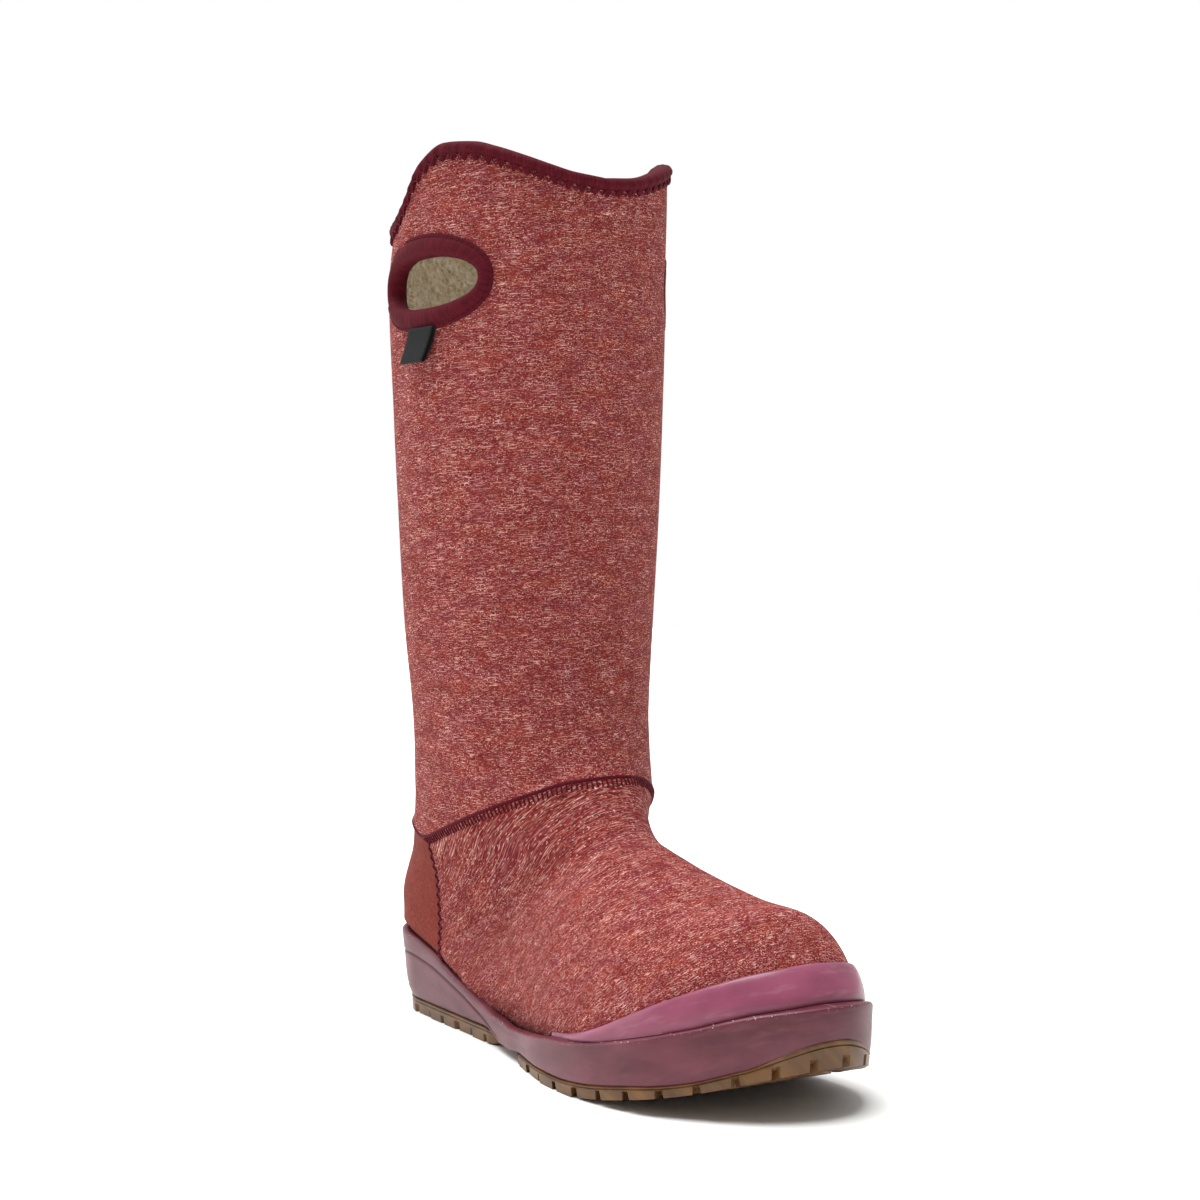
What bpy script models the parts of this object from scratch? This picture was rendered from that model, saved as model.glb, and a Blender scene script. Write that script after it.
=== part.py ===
# Tall pull-on winter boot, right foot, standing empty on its sole.
#
# Metres, +Z up, +X towards the toe, +Y towards the other foot (medial side).
# The origin is on the ground under the middle of the heel, on a flat lug face of the outsole.
# One smooth form of the foot and leg gives the upper, and every piece that lies on it reads
# that same form, so a change of a named size moves them all together.

from collections import namedtuple

import bmesh
import bpy
import numpy as np

# Sizes of the sole
LENGTH = 0.281          # sole, heel to toe
BALL_WIDTH = 0.100      # sole across the ball
HEEL_X = 0.0455         # middle of the heel's flat, from the back of the sole
HEEL_ROUND = 0.0375     # length of the rounded end at the heel
TOE_ROUND = 0.052       # length of the rounded end at the toe
TOE_SWEEP = 0.012       # how far the toe swings to the medial side
TOE_SPRING = 0.0205     # rise of the toe off the ground
GUM_THICKNESS = 0.0065  # outsole with its lugs, at the heel
HEEL_SEAT = 0.0205      # tray floor above the ground at the heel
CUP_HEIGHT = 0.037      # top edge of the cup at the heel
CUP_WALL = 0.0037       # rubber wall round the upper
CUP_UNDERCUT = 0.0045   # how far the cup's lower edge is drawn in at the heel
GROOVE_DEPTH = 0.0009   # step in the cup's side at the heel
GROOVE_WIDTH = 0.0022
GROOVE_PLACE = 0.31     # groove below the cup's top edge, as a share of the cup's side
GROOVE_FLANK = 0.3      # share of its width taken by each flank
GROOVE_ENDS = (0.20, 0.36)  # shares of LENGTH between which it fades out
RIM_ROUND = 0.0009      # rounding of the cup's top edge
CHAMFER = 0.0005        # broken edges of the rubber pieces
LOWER_WALL = 0.30       # share of the undercut left below the groove
UPPER_WALL = 0.18       # share of it left above the groove
LUG_DEPTH = 0.0032      # height of the lugs under the outsole
LUG_REACH = 0.0095      # how far the edge lugs run inwards
LUG_STEP = 0.0012       # how far the notches between lugs are set back
LUG_NOTCH = 0.0036      # width of the notches between lugs
LUG_DRAFT = 0.0010      # how far a notch's flanks lean
LUG_PITCH = 0.0140      # one lug and one notch along the edge
LUG_SHARE = 0.6         # lugs are never higher than this share of the outsole
JOINT_STEP = 0.0006     # step where the cup meets the outsole
WAIST_LIP = 0.0018      # how far the cup hangs past the outsole's edge at the arch
WAIST_INSET = 0.0070    # how far the outsole is set in at the arch
WAIST = (0.37, 0.43, 0.46, 0.52)  # shares of LENGTH where the arch starts, is full, falls and ends
TREAD_GAP = 0.0035      # channel between edge lugs and cross bars
CHEVRON = 0.007         # how far the cross bars point forwards

# Sizes of the upper
HEIGHT = 0.3715         # ground to the highest point of the shaft's edge
ANKLE_HEIGHT = 0.104    # ground to the throat
INSTEP_HEIGHT = 0.091   # top of the instep above the tray
TOE_NOSE = 0.031        # length over which the toe box rounds down
SHAFT_DEPTH = 0.132     # shaft, back to front
SHAFT_WIDTH = 0.117     # shaft, side to side
COLLAR_DROP = 0.026     # fall of the collar from its sides to its lowest point
THROAT_BLEND = 0.020    # softness of the bend between leg and foot
SIDE_BLEND = 0.006      # the same low on the sides
SIDE_SHARE = 0.4        # share of ANKLE_HEIGHT up to which it holds
WALL = 0.0040           # textile, foam and lining together
MARGIN = 0.009          # lasting margin turned in under the foot
SEAM_HEIGHT = 0.0009    # raised ankle seam
SEAM_WIDTH = 0.0050
SEAM_BACK = 0.088       # ankle seam above the ground at the back
SEAM_SAG = 0.015        # fall of the ankle seam over the sides

# Sizes of what is sewn or glued on
BINDING_DROP = 0.0075   # how far the collar binding reaches down
BINDING_WALL = 0.0013
HANDLE_X = 0.088        # handle hole, from the back of the sole
HANDLE_DROP = 0.0545    # middle of the handle hole below the shaft's highest point
HANDLE_LENGTH = 0.058
HANDLE_HEIGHT = 0.023
HANDLE_SQUARE = 0.88    # 1 is an ellipse, less is squarer
HANDLE_BAND = 0.0080    # width of the binding above and below the hole
HANDLE_END_BAND = 0.0048  # its width at the hole's two ends
TAB_WIDTH = 0.014
TAB_LENGTH = 0.015
TAB_WALL = 0.0016
TAB_LIFT = 0.0020       # how far the tab's free end stands off
TAB_LEAN = 0.35         # slope of its two sides towards the back
BUMPER_WALL = 0.0016
BUMPER_START = 0.645    # share of the sole's length where the bumper begins
BUMPER_HEIGHT = 0.0115  # at the toe, above the cup
BUMPER_TIP = 0.0015     # height of its two ends
BUMPER_SWELL = 1.3      # the more, the sooner the band is at its full height
BUMPER_EDGE = 0.55      # thickness of its upper edge as a share of BUMPER_WALL
INSOLE_WALL = 0.0035
INSOLE_EASE = 0.0035    # play round the footbed
GAP = 0.0003            # between pieces that meet
RIM_GAP = 0.0006        # between the cup's top edge and what stands in or on it
FACET_ROOM = 0.0005     # added where the flat facets of two round pieces don't line up

# How finely the round forms are divided
COLUMNS = 46            # round the upper
SOLE_COLUMNS = 56       # round the midsole
FOOT_RINGS = 13
SHAFT_RINGS = 12
HANDLE_POINTS = 22
BUMPER_COLUMNS = 26
TAB_ROWS = 5
TAB_COLUMNS = 4

# Plan of the sole: half widths as shares of BALL_WIDTH, centre as a share of TOE_SWEEP
Plan = namedtuple("Plan", "along lateral medial centre")
PLAN = (
    Plan(0.00, 0.378, 0.372, 0.00),
    Plan(0.20, 0.378, 0.365, 0.00),
    Plan(0.35, 0.378, 0.335, 0.00),
    Plan(0.50, 0.428, 0.370, 0.00),
    Plan(0.62, 0.500, 0.445, 0.00),
    Plan(0.72, 0.518, 0.472, 0.10),
    Plan(0.82, 0.492, 0.462, 0.35),
    Plan(0.92, 0.435, 0.432, 0.75),
    Plan(1.00, 0.400, 0.400, 1.00),
)

# Side view of the sole. ground: share of TOE_SPRING. gum: share of GUM_THICKNESS.
# seat: share of HEEL_SEAT. cup: share of CUP_HEIGHT. These three stand on the ground line.
# under: share of CUP_UNDERCUT.
Profile = namedtuple("Profile", "along ground gum seat cup under")
PROFILE = (
    Profile(0.00, 0.20, 0.82, 0.90, 0.90, 1.00),
    Profile(0.08, 0.00, 1.00, 1.00, 0.99, 1.00),
    Profile(0.19, 0.00, 1.00, 1.00, 0.94, 0.90),
    Profile(0.27, 0.00, 1.00, 0.92, 0.75, 0.80),
    Profile(0.36, 0.00, 1.00, 0.72, 0.54, 0.70),
    Profile(0.43, 0.11, 0.40, 0.46, 0.38, 0.50),
    Profile(0.50, 0.00, 0.74, 0.44, 0.42, 0.30),
    Profile(0.60, 0.00, 0.80, 0.44, 0.49, 0.25),
    Profile(0.67, 0.00, 0.80, 0.44, 0.53, 0.25),
    Profile(0.73, 0.05, 0.80, 0.44, 0.55, 0.25),
    Profile(0.82, 0.29, 0.82, 0.44, 0.56, 0.25),
    Profile(0.89, 0.54, 0.88, 0.47, 0.57, 0.25),
    Profile(0.95, 0.82, 1.05, 0.51, 0.58, 0.25),
    Profile(1.00, 1.00, 1.40, 0.56, 0.58, 0.25),
)

# Foot form. top: share of INSTEP_HEIGHT above the tray. full: 2 is round, more is squarer.
Foot = namedtuple("Foot", "along top full")
FOOT = (
    Foot(0.00, 0.35, 2.2),
    Foot(0.30, 0.55, 2.1),
    Foot(0.45, 0.86, 1.9),
    Foot(0.53, 0.96, 1.8),
    Foot(0.59, 0.90, 1.9),
    Foot(0.68, 0.82, 2.0),
    Foot(0.75, 0.74, 2.2),
    Foot(0.82, 0.655, 2.3),
    Foot(0.89, 0.61, 2.5),
    Foot(1.00, 0.60, 2.5),
)

# Leg form. level: 0 to 1 from the ground to ANKLE_HEIGHT, 1 to 2 from there to HEIGHT.
# centre: share of LENGTH. depth and width: shares of SHAFT_DEPTH and SHAFT_WIDTH.
Leg = namedtuple("Leg", "level centre depth width full")
LEG = (
    Leg(0.00, 0.190, 0.660, 0.49, 2.5),
    Leg(0.20, 0.192, 0.685, 0.515, 2.5),
    Leg(0.35, 0.196, 0.735, 0.555, 2.6),
    Leg(0.48, 0.197, 0.775, 0.615, 2.6),
    Leg(0.62, 0.219, 0.860, 0.655, 2.4),
    Leg(0.74, 0.249, 0.91, 0.70, 2.2),
    Leg(0.84, 0.274, 0.97, 0.75, 2.1),
    Leg(1.00, 0.285, 0.99, 0.79, 2.0),
    Leg(1.06, 0.281, 0.955, 0.80, 2.0),
    Leg(1.13, 0.276, 0.925, 0.82, 2.0),
    Leg(1.25, 0.272, 0.935, 0.87, 2.0),
    Leg(1.41, 0.273, 0.970, 0.915, 2.0),
    Leg(1.59, 0.269, 1.000, 0.955, 2.0),
    Leg(1.80, 0.267, 1.000, 0.990, 2.0),
    Leg(1.91, 0.280, 0.975, 0.975, 2.0),
    Leg(2.00, 0.290, 0.960, 0.955, 2.0),
)

# Edge of the collar. turn: 0 at the back, 1 at the front. fall: share of COLLAR_DROP.
Edge = namedtuple("Edge", "turn fall")
COLLAR = (
    Edge(0.00, 0.85),
    Edge(0.10, 0.87),
    Edge(0.20, 0.92),
    Edge(0.30, 0.98),
    Edge(0.36, 1.00),
    Edge(0.42, 0.96),
    Edge(0.47, 0.75),
    Edge(0.53, 0.22),
    Edge(0.60, 0.00),
    Edge(0.67, 0.05),
    Edge(0.72, 0.16),
    Edge(0.78, 0.31),
    Edge(0.85, 0.47),
    Edge(0.91, 0.57),
    Edge(1.00, 0.63),
)

# Ankle seam over the sides. turn: 0 at the back, 1 at the front. fall: share of SEAM_SAG.
Seam = namedtuple("Seam", "turn fall")
ANKLE_SEAM = (
    Seam(0.00, 0.00),
    Seam(0.13, 0.08),
    Seam(0.27, 0.43),
    Seam(0.41, 1.00),
    Seam(0.53, 0.82),
    Seam(0.62, 0.62),
    Seam(0.69, 0.45),
    Seam(0.78, 0.24),
    Seam(0.88, 0.04),
    Seam(1.00, 0.00),
)

# Inner points from which the front of the upper is sought. along: share of LENGTH.
# lift: share of INSTEP_HEIGHT above the tray. angle: degrees above level.
Guide = namedtuple("Guide", "along lift angle")
FRONT_GUIDES = (
    Guide(0.84, 0.10, 0.0),
    Guide(0.84, 0.25, 12.0),
    Guide(0.82, 0.30, 45.0),
    Guide(0.79, 0.30, 72.0),
    Guide(0.70, 0.35, 78.0),
    Guide(0.60, 0.45, 72.0),
    Guide(0.50, 0.60, 58.0),
    Guide(0.38, 0.80, 30.0),
    Guide(0.33, 1.05, 0.0),
)

LATERAL, MEDIAL = -1.0, 1.0
FAR = 0.25              # no surface lies further than this from a guide point
FINE = 800              # steps in which a curve's length is walked
TINY = 1e-5
FORM_SCALE = 0.035      # turns the forms' plain ratios into lengths

# How the rings of the upper lie between its named edges
SPINE_SHARE = 0.42      # the rays of a ring start this share of its chord from its ends
SPINE_END = 0.048       # and no further in than this
SEAM_FROM = 0.45        # level below which the rings ignore the ankle seam's sag
SEAM_TO = 0.60          # share of the shaft above which they ignore it
WAVE_FROM = 0.20        # share of the shaft from which they take up the collar's wave

# Colours, roughness
TEXTILE = ((0.325, 0.075, 0.085), 0.95)
BINDING = ((0.085, 0.018, 0.025), 0.90)
TAB_CLOTH = ((0.018, 0.022, 0.018), 0.85)
BUMPER_RUBBER = ((0.420, 0.150, 0.165), 0.42)
CUP_RUBBER = ((0.300, 0.110, 0.125), 0.55)
GUM_RUBBER = ((0.270, 0.090, 0.022), 0.45)
FOOTBED_FELT = ((0.420, 0.380, 0.300), 0.95)


def clear_scene():
    """Remove what the scene holds."""
    for old in list(bpy.data.objects):
        bpy.data.objects.remove(old)


def along(table, name, at):
    """Smooth value of one column at places of the table's first column, with no overshoot."""
    places = np.array([row[0] for row in table])
    values = np.array([getattr(row, name) for row in table])
    steps = np.diff(places)
    slopes = np.diff(values) / steps
    tangents = np.zeros(len(places))
    tangents[0], tangents[-1] = slopes[0], slopes[-1]
    same = slopes[:-1] * slopes[1:] > 0
    before, after = slopes[:-1][same], slopes[1:][same]
    tangents[1:-1][same] = 2 * before * after / (before + after)
    at = np.clip(at, places[0], places[-1])
    i = np.clip(np.searchsorted(places, at, side="right") - 1, 0, len(steps) - 1)
    t = (at - places[i]) / steps[i]
    start = (1 + 2 * t) * (1 - t) ** 2 * values[i] + t * (1 - t) ** 2 * steps[i] * tangents[i]
    end = t * t * (3 - 2 * t) * values[i + 1] - t * t * (1 - t) * steps[i] * tangents[i + 1]
    return start + end


def rounded_end(share):
    """Elliptic end: 0 at the tip, 1 from one length inwards."""
    share = np.clip(share, 0.0, 1.0)
    return np.sqrt(np.maximum(1 - (1 - share) ** 2, 0.0))


def smooth_step(share):
    """0 to 1 with flat ends."""
    share = np.clip(share, 0.0, 1.0)
    return share * share * (3 - 2 * share)


def ground(x):
    """Lowest surface of the sole above the floor."""
    return along(PROFILE, "ground", x / LENGTH) * TOE_SPRING


def gum_top(x):
    """Joint between outsole and midsole."""
    return ground(x) + along(PROFILE, "gum", x / LENGTH) * GUM_THICKNESS


def tray(x):
    """Floor of the midsole, on which the upper stands."""
    return ground(x) + along(PROFILE, "seat", x / LENGTH) * HEEL_SEAT


def cup_top(x):
    """Top edge of the midsole's wall."""
    return ground(x) + along(PROFILE, "cup", x / LENGTH) * CUP_HEIGHT


def plan_ratio(x, y, inset):
    """1 on the sole's outline drawn in by inset, less inside it."""
    share = x / LENGTH
    centre = along(PLAN, "centre", share) * TOE_SWEEP
    lateral = along(PLAN, "lateral", share) * BALL_WIDTH
    medial = along(PLAN, "medial", share) * BALL_WIDTH
    half = np.where(y < centre, lateral, medial) - inset
    heel = np.maximum(HEEL_ROUND - x, 0.0) / (HEEL_ROUND - inset)
    toe = np.maximum(x - LENGTH + TOE_ROUND, 0.0) / (TOE_ROUND - inset)
    return np.sqrt(((y - centre) / half) ** 2 + heel ** 2 + toe ** 2)


def foot_form(x, y, z):
    """Below zero inside the foot form."""
    share = x / LENGTH
    reach = CUP_WALL + GAP
    across = plan_ratio(x, y, reach)
    nose = rounded_end((LENGTH - reach - x) / TOE_NOSE)
    top = np.maximum(along(FOOT, "top", share) * INSTEP_HEIGHT * nose, TINY)
    up = np.maximum(z - tray(x), 0.0) / top
    full = along(FOOT, "full", share)
    ratio = (np.minimum(across, 50.0) ** full + np.minimum(up, 50.0) ** full) ** (1 / full)
    return (ratio - 1) * FORM_SCALE


def leg_level(z):
    """0 to 1 up to the ankle, 1 to 2 above it."""
    above = (z - ANKLE_HEIGHT) / (HEIGHT - ANKLE_HEIGHT)
    return np.where(z < ANKLE_HEIGHT, z / ANKLE_HEIGHT, 1 + above)


def leg_form(x, y, z):
    """Below zero inside the leg form."""
    level = leg_level(z)
    centre = along(LEG, "centre", level) * LENGTH
    half_depth = along(LEG, "depth", level) * SHAFT_DEPTH / 2
    half_width = along(LEG, "width", level) * SHAFT_WIDTH / 2
    full = along(LEG, "full", level)
    ratio = (np.abs((x - centre) / half_depth) ** full + np.abs(y / half_width) ** full) ** (1 / full)
    return (ratio - 1) * half_width


def form(point):
    """Below zero inside the boot's outer skin: leg and foot flow into each other."""
    x, y, z = point[..., 0], point[..., 1], point[..., 2]
    leg, foot = leg_form(x, y, z), foot_form(x, y, z)
    blend_share = smooth_step((z / ANKLE_HEIGHT - SIDE_SHARE) / SIDE_SHARE)
    blend = SIDE_BLEND + (THROAT_BLEND - SIDE_BLEND) * blend_share
    near = np.maximum(blend - np.abs(leg - foot), 0.0) / blend
    return np.minimum(leg, foot) - near * near * blend / 4


def outward(point):
    """Unit normal of the form."""
    step = 1e-4
    slope = np.stack([form(point + step * axis) - form(point - step * axis) for axis in np.eye(3)], -1)
    return slope / np.linalg.norm(slope, axis=-1, keepdims=True)


def seek(value, origin, direction):
    """Point where value turns positive, from origin in a direction."""
    low = np.zeros(origin.shape[:-1])
    high = np.full(origin.shape[:-1], FAR)
    for _ in range(34):
        middle = (low + high) / 2
        inside = value(origin + middle[..., None] * direction) < 0
        low, high = np.where(inside, middle, low), np.where(inside, high, middle)
    return origin + low[..., None] * direction


def level_ray(x, z, sign):
    """Point on the mid plane, sought forwards (1) or backwards (-1) at one height."""
    origin = np.stack([x + 0 * z, 0 * z, z], -1)
    return seek(form, origin, np.array([sign, 0.0, 0.0]))


def front_of_foot(shares):
    """Points along the mid plane from the toe's feather edge up to the throat."""
    turn = np.linspace(0.0, 1.0, FINE)
    place = np.linspace(0.0, 1.0, len(FRONT_GUIDES))
    rows = tuple(Guide(*row) for row in FRONT_GUIDES)
    Step = namedtuple("Step", "place along lift angle")
    steps = tuple(Step(p, *row) for p, row in zip(place, rows))
    x = along(steps, "along", turn) * LENGTH
    lift = along(steps, "lift", turn) * INSTEP_HEIGHT
    angle = np.radians(along(steps, "angle", turn))
    centre = along(PLAN, "centre", x / LENGTH) * TOE_SWEEP
    origin = np.stack([x, centre, tray(x) + lift], -1)
    direction = np.stack([np.cos(angle), 0 * angle, np.sin(angle)], -1)
    found = seek(form, origin, direction)
    walked = np.concatenate([[0.0], np.cumsum(np.linalg.norm(np.diff(found, axis=0), axis=1))])
    wanted = shares * walked[-1]
    return np.stack([np.interp(wanted, walked, found[:, i]) for i in range(3)], -1)


def ring_ends(level):
    """Back and front points of rings. level: 0 at the feather edge, 1 at the seam, 2 at the collar."""
    foot = np.clip(level, 0.0, 1.0)
    shaft = np.clip(level - 1, 0.0, 1.0)
    feather = tray(np.array(0.0)) + GAP
    back_top = HEIGHT - COLLAR_DROP * COLLAR[0].fall
    front_top = HEIGHT - COLLAR_DROP * COLLAR[-1].fall
    back_z = feather + (SEAM_BACK - feather) * foot + (back_top - SEAM_BACK) * shaft
    back = level_ray(HEEL_X, back_z, -1.0)
    front = front_of_foot(foot)
    throat_z = front_of_foot(np.array([1.0]))[0, 2]
    front_z = throat_z + (front_top - throat_z) * shaft
    on_shaft = level_ray(HEEL_X, front_z, 1.0)
    return back, np.where((level > 1)[..., None], on_shaft, front)


def skin(level, turn):
    """Points of the outer skin. turn: 0 at the back, 1 at the front, to 2 round the medial side."""
    back, front = ring_ends(level)
    chord = front - back
    chord[..., 1] = 0.0
    length = np.linalg.norm(chord, axis=-1, keepdims=True)
    chord = chord / length
    reach = np.minimum(SPINE_SHARE * length, SPINE_END)
    angle = np.pi * turn
    share = ((1 - np.cos(angle)) / 2)[..., None]
    first, last = back + reach * chord, front - reach * chord
    origin = first + (last - first) * share
    side = np.stack([0 * angle, -np.sin(angle), 0 * angle], -1)
    direction = side - np.cos(angle)[..., None] * chord
    half_turn = 1 - np.abs(1 - turn)
    shaft = np.clip(level - 1, 0.0, 1.0)
    seam = -SEAM_SAG * along(ANKLE_SEAM, "fall", half_turn)
    seam_part = smooth_step((level - SEAM_FROM) / (1 - SEAM_FROM)) * (1 - smooth_step(shaft / SEAM_TO))
    back_fall, front_fall = COLLAR[0].fall, COLLAR[-1].fall
    level_fall = back_fall + (front_fall - back_fall) * (1 - np.cos(angle)) / 2
    wave = COLLAR_DROP * (level_fall - along(COLLAR, "fall", half_turn))
    origin[..., 2] += seam * seam_part + wave * smooth_step((shaft - WAVE_FROM) / (1 - WAVE_FROM))
    return seek(form, origin, direction / np.linalg.norm(direction, axis=-1, keepdims=True))


def seam_swell(level, turn):
    """Height of the raised ankle seam at a place of the skin."""
    away = (level - 1) * np.where(level > 1, HEIGHT - ANKLE_HEIGHT, SEAM_BACK)
    return SEAM_HEIGHT * (1 - smooth_step(np.abs(away) / SEAM_WIDTH)) + 0 * turn


def make_object(name, points, faces, finish):
    """One closed body with its own material, its corners in the boot's frame."""
    colour, roughness = finish
    mesh = bpy.data.meshes.new(name)
    shift = np.array([-HEEL_X, 0.0, 0.0])
    mesh.from_pydata([tuple(p) for p in np.asarray(points) + shift], [], [tuple(f) for f in faces])
    shell = bmesh.new()
    shell.from_mesh(mesh)
    bmesh.ops.recalc_face_normals(shell, faces=shell.faces)
    shell.to_mesh(mesh)
    shell.free()
    mesh.shade_smooth()
    mesh.set_sharp_from_angle(angle=np.radians(38))
    material = bpy.data.materials.new(name + "_material")
    material.use_nodes = True
    shader = material.node_tree.nodes["Principled BSDF"]
    shader.inputs["Base Color"].default_value = (*colour, 1.0)
    shader.inputs["Roughness"].default_value = roughness
    shader.inputs["Metallic"].default_value = 0.0
    mesh.materials.append(material)
    made = bpy.data.objects.new(name, mesh)
    bpy.context.collection.objects.link(made)
    return made


def turns(count):
    """Even turns round the boot, the first at the back."""
    return np.arange(count) * 2.0 / count


def ring_faces(rows, count, closed_rows=False):
    """Quads between rings of count points."""
    faces = []
    for row in range(rows if closed_rows else rows - 1):
        above = (row + 1) % rows
        for i in range(count):
            j = (i + 1) % count
            faces.append((row * count + i, row * count + j, above * count + j, above * count + i))
    return faces


def strip_faces(start, count):
    """Close a ring with cross strips between its two sides. The ring starts at the back."""
    faces = []
    for i in range(count // 2):
        corners = [i, i + 1, (count - i - 1) % count, (count - i) % count]
        faces.append(tuple(start + p for n, p in enumerate(corners) if p not in corners[:n]))
    return faces


def plan_ray(turn, z):
    """Origin on the sole's middle line and level direction, for a turn round the sole."""
    angle = np.pi * turn
    first, last = HEEL_ROUND, LENGTH - TOE_ROUND
    x = first + (last - first) * (1 - np.cos(angle)) / 2
    centre = along(PLAN, "centre", x / LENGTH) * TOE_SWEEP
    origin = np.stack([x, centre, z + 0 * x], -1)
    return origin, np.stack([-np.cos(angle), -np.sin(angle), 0 * angle], -1)


def plan_point(turn, inset):
    """Point of the sole's outline, drawn in by inset, at a turn round it."""
    origin, direction = plan_ray(turn, 0.0)
    return seek(lambda p: plan_ratio(p[..., 0], p[..., 1], inset) - 1, origin, direction)


def wall_point(turn, z):
    """Point of the upper's outer skin above the sole's edge, at a turn and a height."""
    return seek(form, *plan_ray(turn, z))


def side_point(x, z, side):
    """Point of the shaft's outer skin at a place of the side view."""
    origin = np.stack([x, 0 * x, z], -1)
    return seek(form, origin, np.array([0.0, side, 0.0]))


def handle_oval(grow):
    """Oval of the handle hole in the side view, grown by a length."""
    angle = np.arange(HANDLE_POINTS) * 2 * np.pi / HANDLE_POINTS
    power = HANDLE_SQUARE
    across, up = np.cos(angle), np.sin(angle)
    end_grow = grow * HANDLE_END_BAND / HANDLE_BAND
    x = HANDLE_X + (HANDLE_LENGTH / 2 + end_grow) * np.sign(across) * np.abs(across) ** power
    z = HEIGHT - HANDLE_DROP + (HANDLE_HEIGHT / 2 + grow) * np.sign(up) * np.abs(up) ** power
    return x, z


def along_normals(points, normals, offsets):
    """Rings of points at several distances along normals, one after the other."""
    return np.concatenate([points + offset * normals for offset in offsets])


def make_handle_cutter(side):
    """Plug that cuts one handle hole square to the shaft's skin."""
    x, z = handle_oval(0.0)
    skin_points = side_point(x, z, side)
    normals = outward(skin_points)
    points = along_normals(skin_points, normals, (3 * WALL, -4 * WALL))
    faces = ring_faces(2, HANDLE_POINTS)
    faces += [tuple(reversed(range(HANDLE_POINTS))), tuple(range(HANDLE_POINTS, 2 * HANDLE_POINTS))]
    cutter = make_object("handle_cutter_right" if side == LATERAL else "handle_cutter_left",
                         points, faces, BINDING)
    cutter.hide_render = True
    cutter.display_type = "WIRE"
    return cutter


def make_upper():
    """Hollow shell from the turned-in margin up to the collar, with both handle holes."""
    turn = turns(COLUMNS)
    foot = np.linspace(0.0, 1.0, FOOT_RINGS)[:-1]
    seam_step = SEAM_WIDTH / SEAM_BACK
    shaft_step = SEAM_WIDTH / (HEIGHT - ANKLE_HEIGHT)
    shaft = np.linspace(1.0, 2.0, SHAFT_RINGS)[1:]
    under_binding = 2 - BINDING_DROP / (HEIGHT - ANKLE_HEIGHT)
    levels = np.concatenate([foot, [1 - seam_step, 1.0, 1 + shaft_step], shaft, [under_binding]])
    levels = np.sort(levels)
    outer, inner = [], []
    for level in levels:
        ring = skin(np.full(COLUMNS, level), turn)
        normals = outward(ring)
        outer.append(ring + seam_swell(level, turn)[:, None] * normals)
        inner.append(ring - WALL * normals)
    feather = outer[0]
    tucked = []
    for depth in (0.0, WALL):
        edge = plan_point(turn, CUP_WALL + GAP + MARGIN)
        edge[:, 2] = tray(edge[:, 0]) + GAP + depth
        tucked.append(edge)
    feather[:, 2] = tray(feather[:, 0]) + GAP
    inner[0][:, 2] = tray(inner[0][:, 0]) + GAP + WALL
    rings = [tucked[0]] + outer + inner[::-1] + [tucked[1]]
    points = np.concatenate(rings)
    faces = ring_faces(len(rings), COLUMNS, closed_rows=True)
    upper = make_object("upper", points, faces, TEXTILE)
    for side in (LATERAL, MEDIAL):
        cut = upper.modifiers.new("handle_hole", "BOOLEAN")
        cut.operation = "DIFFERENCE"
        cut.solver = "EXACT"
        cut.object = make_handle_cutter(side)


def make_collar_binding():
    """Knitted binding folded over the shaft's edge: a ring with an upside-down U section."""
    turn = turns(COLUMNS)
    drop = BINDING_DROP / (HEIGHT - ANKLE_HEIGHT)
    edge = skin(np.full(COLUMNS, 2.0), turn)
    low = skin(np.full(COLUMNS, 2.0 - drop), turn)
    edge_normal, low_normal = outward(edge), outward(low)
    up = np.array([0.0, 0.0, 1.0])
    outside, inside = GAP + BINDING_WALL, -WALL - GAP - BINDING_WALL
    middle = -WALL / 2
    rings = [
        low + GAP * low_normal,
        low + outside * low_normal,
        edge + outside * edge_normal,
        edge + middle * edge_normal + (GAP + BINDING_WALL) * up,
        edge + inside * edge_normal,
        low + inside * low_normal,
        low + (-WALL - GAP) * low_normal,
        edge + (-WALL - GAP) * edge_normal + GAP * up,
        edge + GAP * edge_normal + GAP * up,
    ]
    faces = ring_faces(len(rings), COLUMNS, closed_rows=True)
    make_object("collar_binding", np.concatenate(rings), faces, BINDING)


def make_handle_binding(side, name):
    """Binding folded round one handle hole, with a U section that opens away from the hole."""
    near, far = GAP, GAP + BINDING_WALL
    lining = -WALL - GAP - FACET_ROOM
    inside = lining - BINDING_WALL
    section = (
        (HANDLE_BAND, near), (HANDLE_BAND, far), (-far, far), (-far, inside),
        (HANDLE_BAND, inside), (HANDLE_BAND, lining), (-near, lining), (-near, near),
    )
    rings = []
    for grow, offset in section:
        x, z = handle_oval(grow)
        on_skin = side_point(x, z, side)
        rings.append(on_skin + offset * outward(on_skin))
    faces = ring_faces(len(rings), HANDLE_POINTS, closed_rows=True)
    make_object(name, np.concatenate(rings), faces, BINDING)


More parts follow.
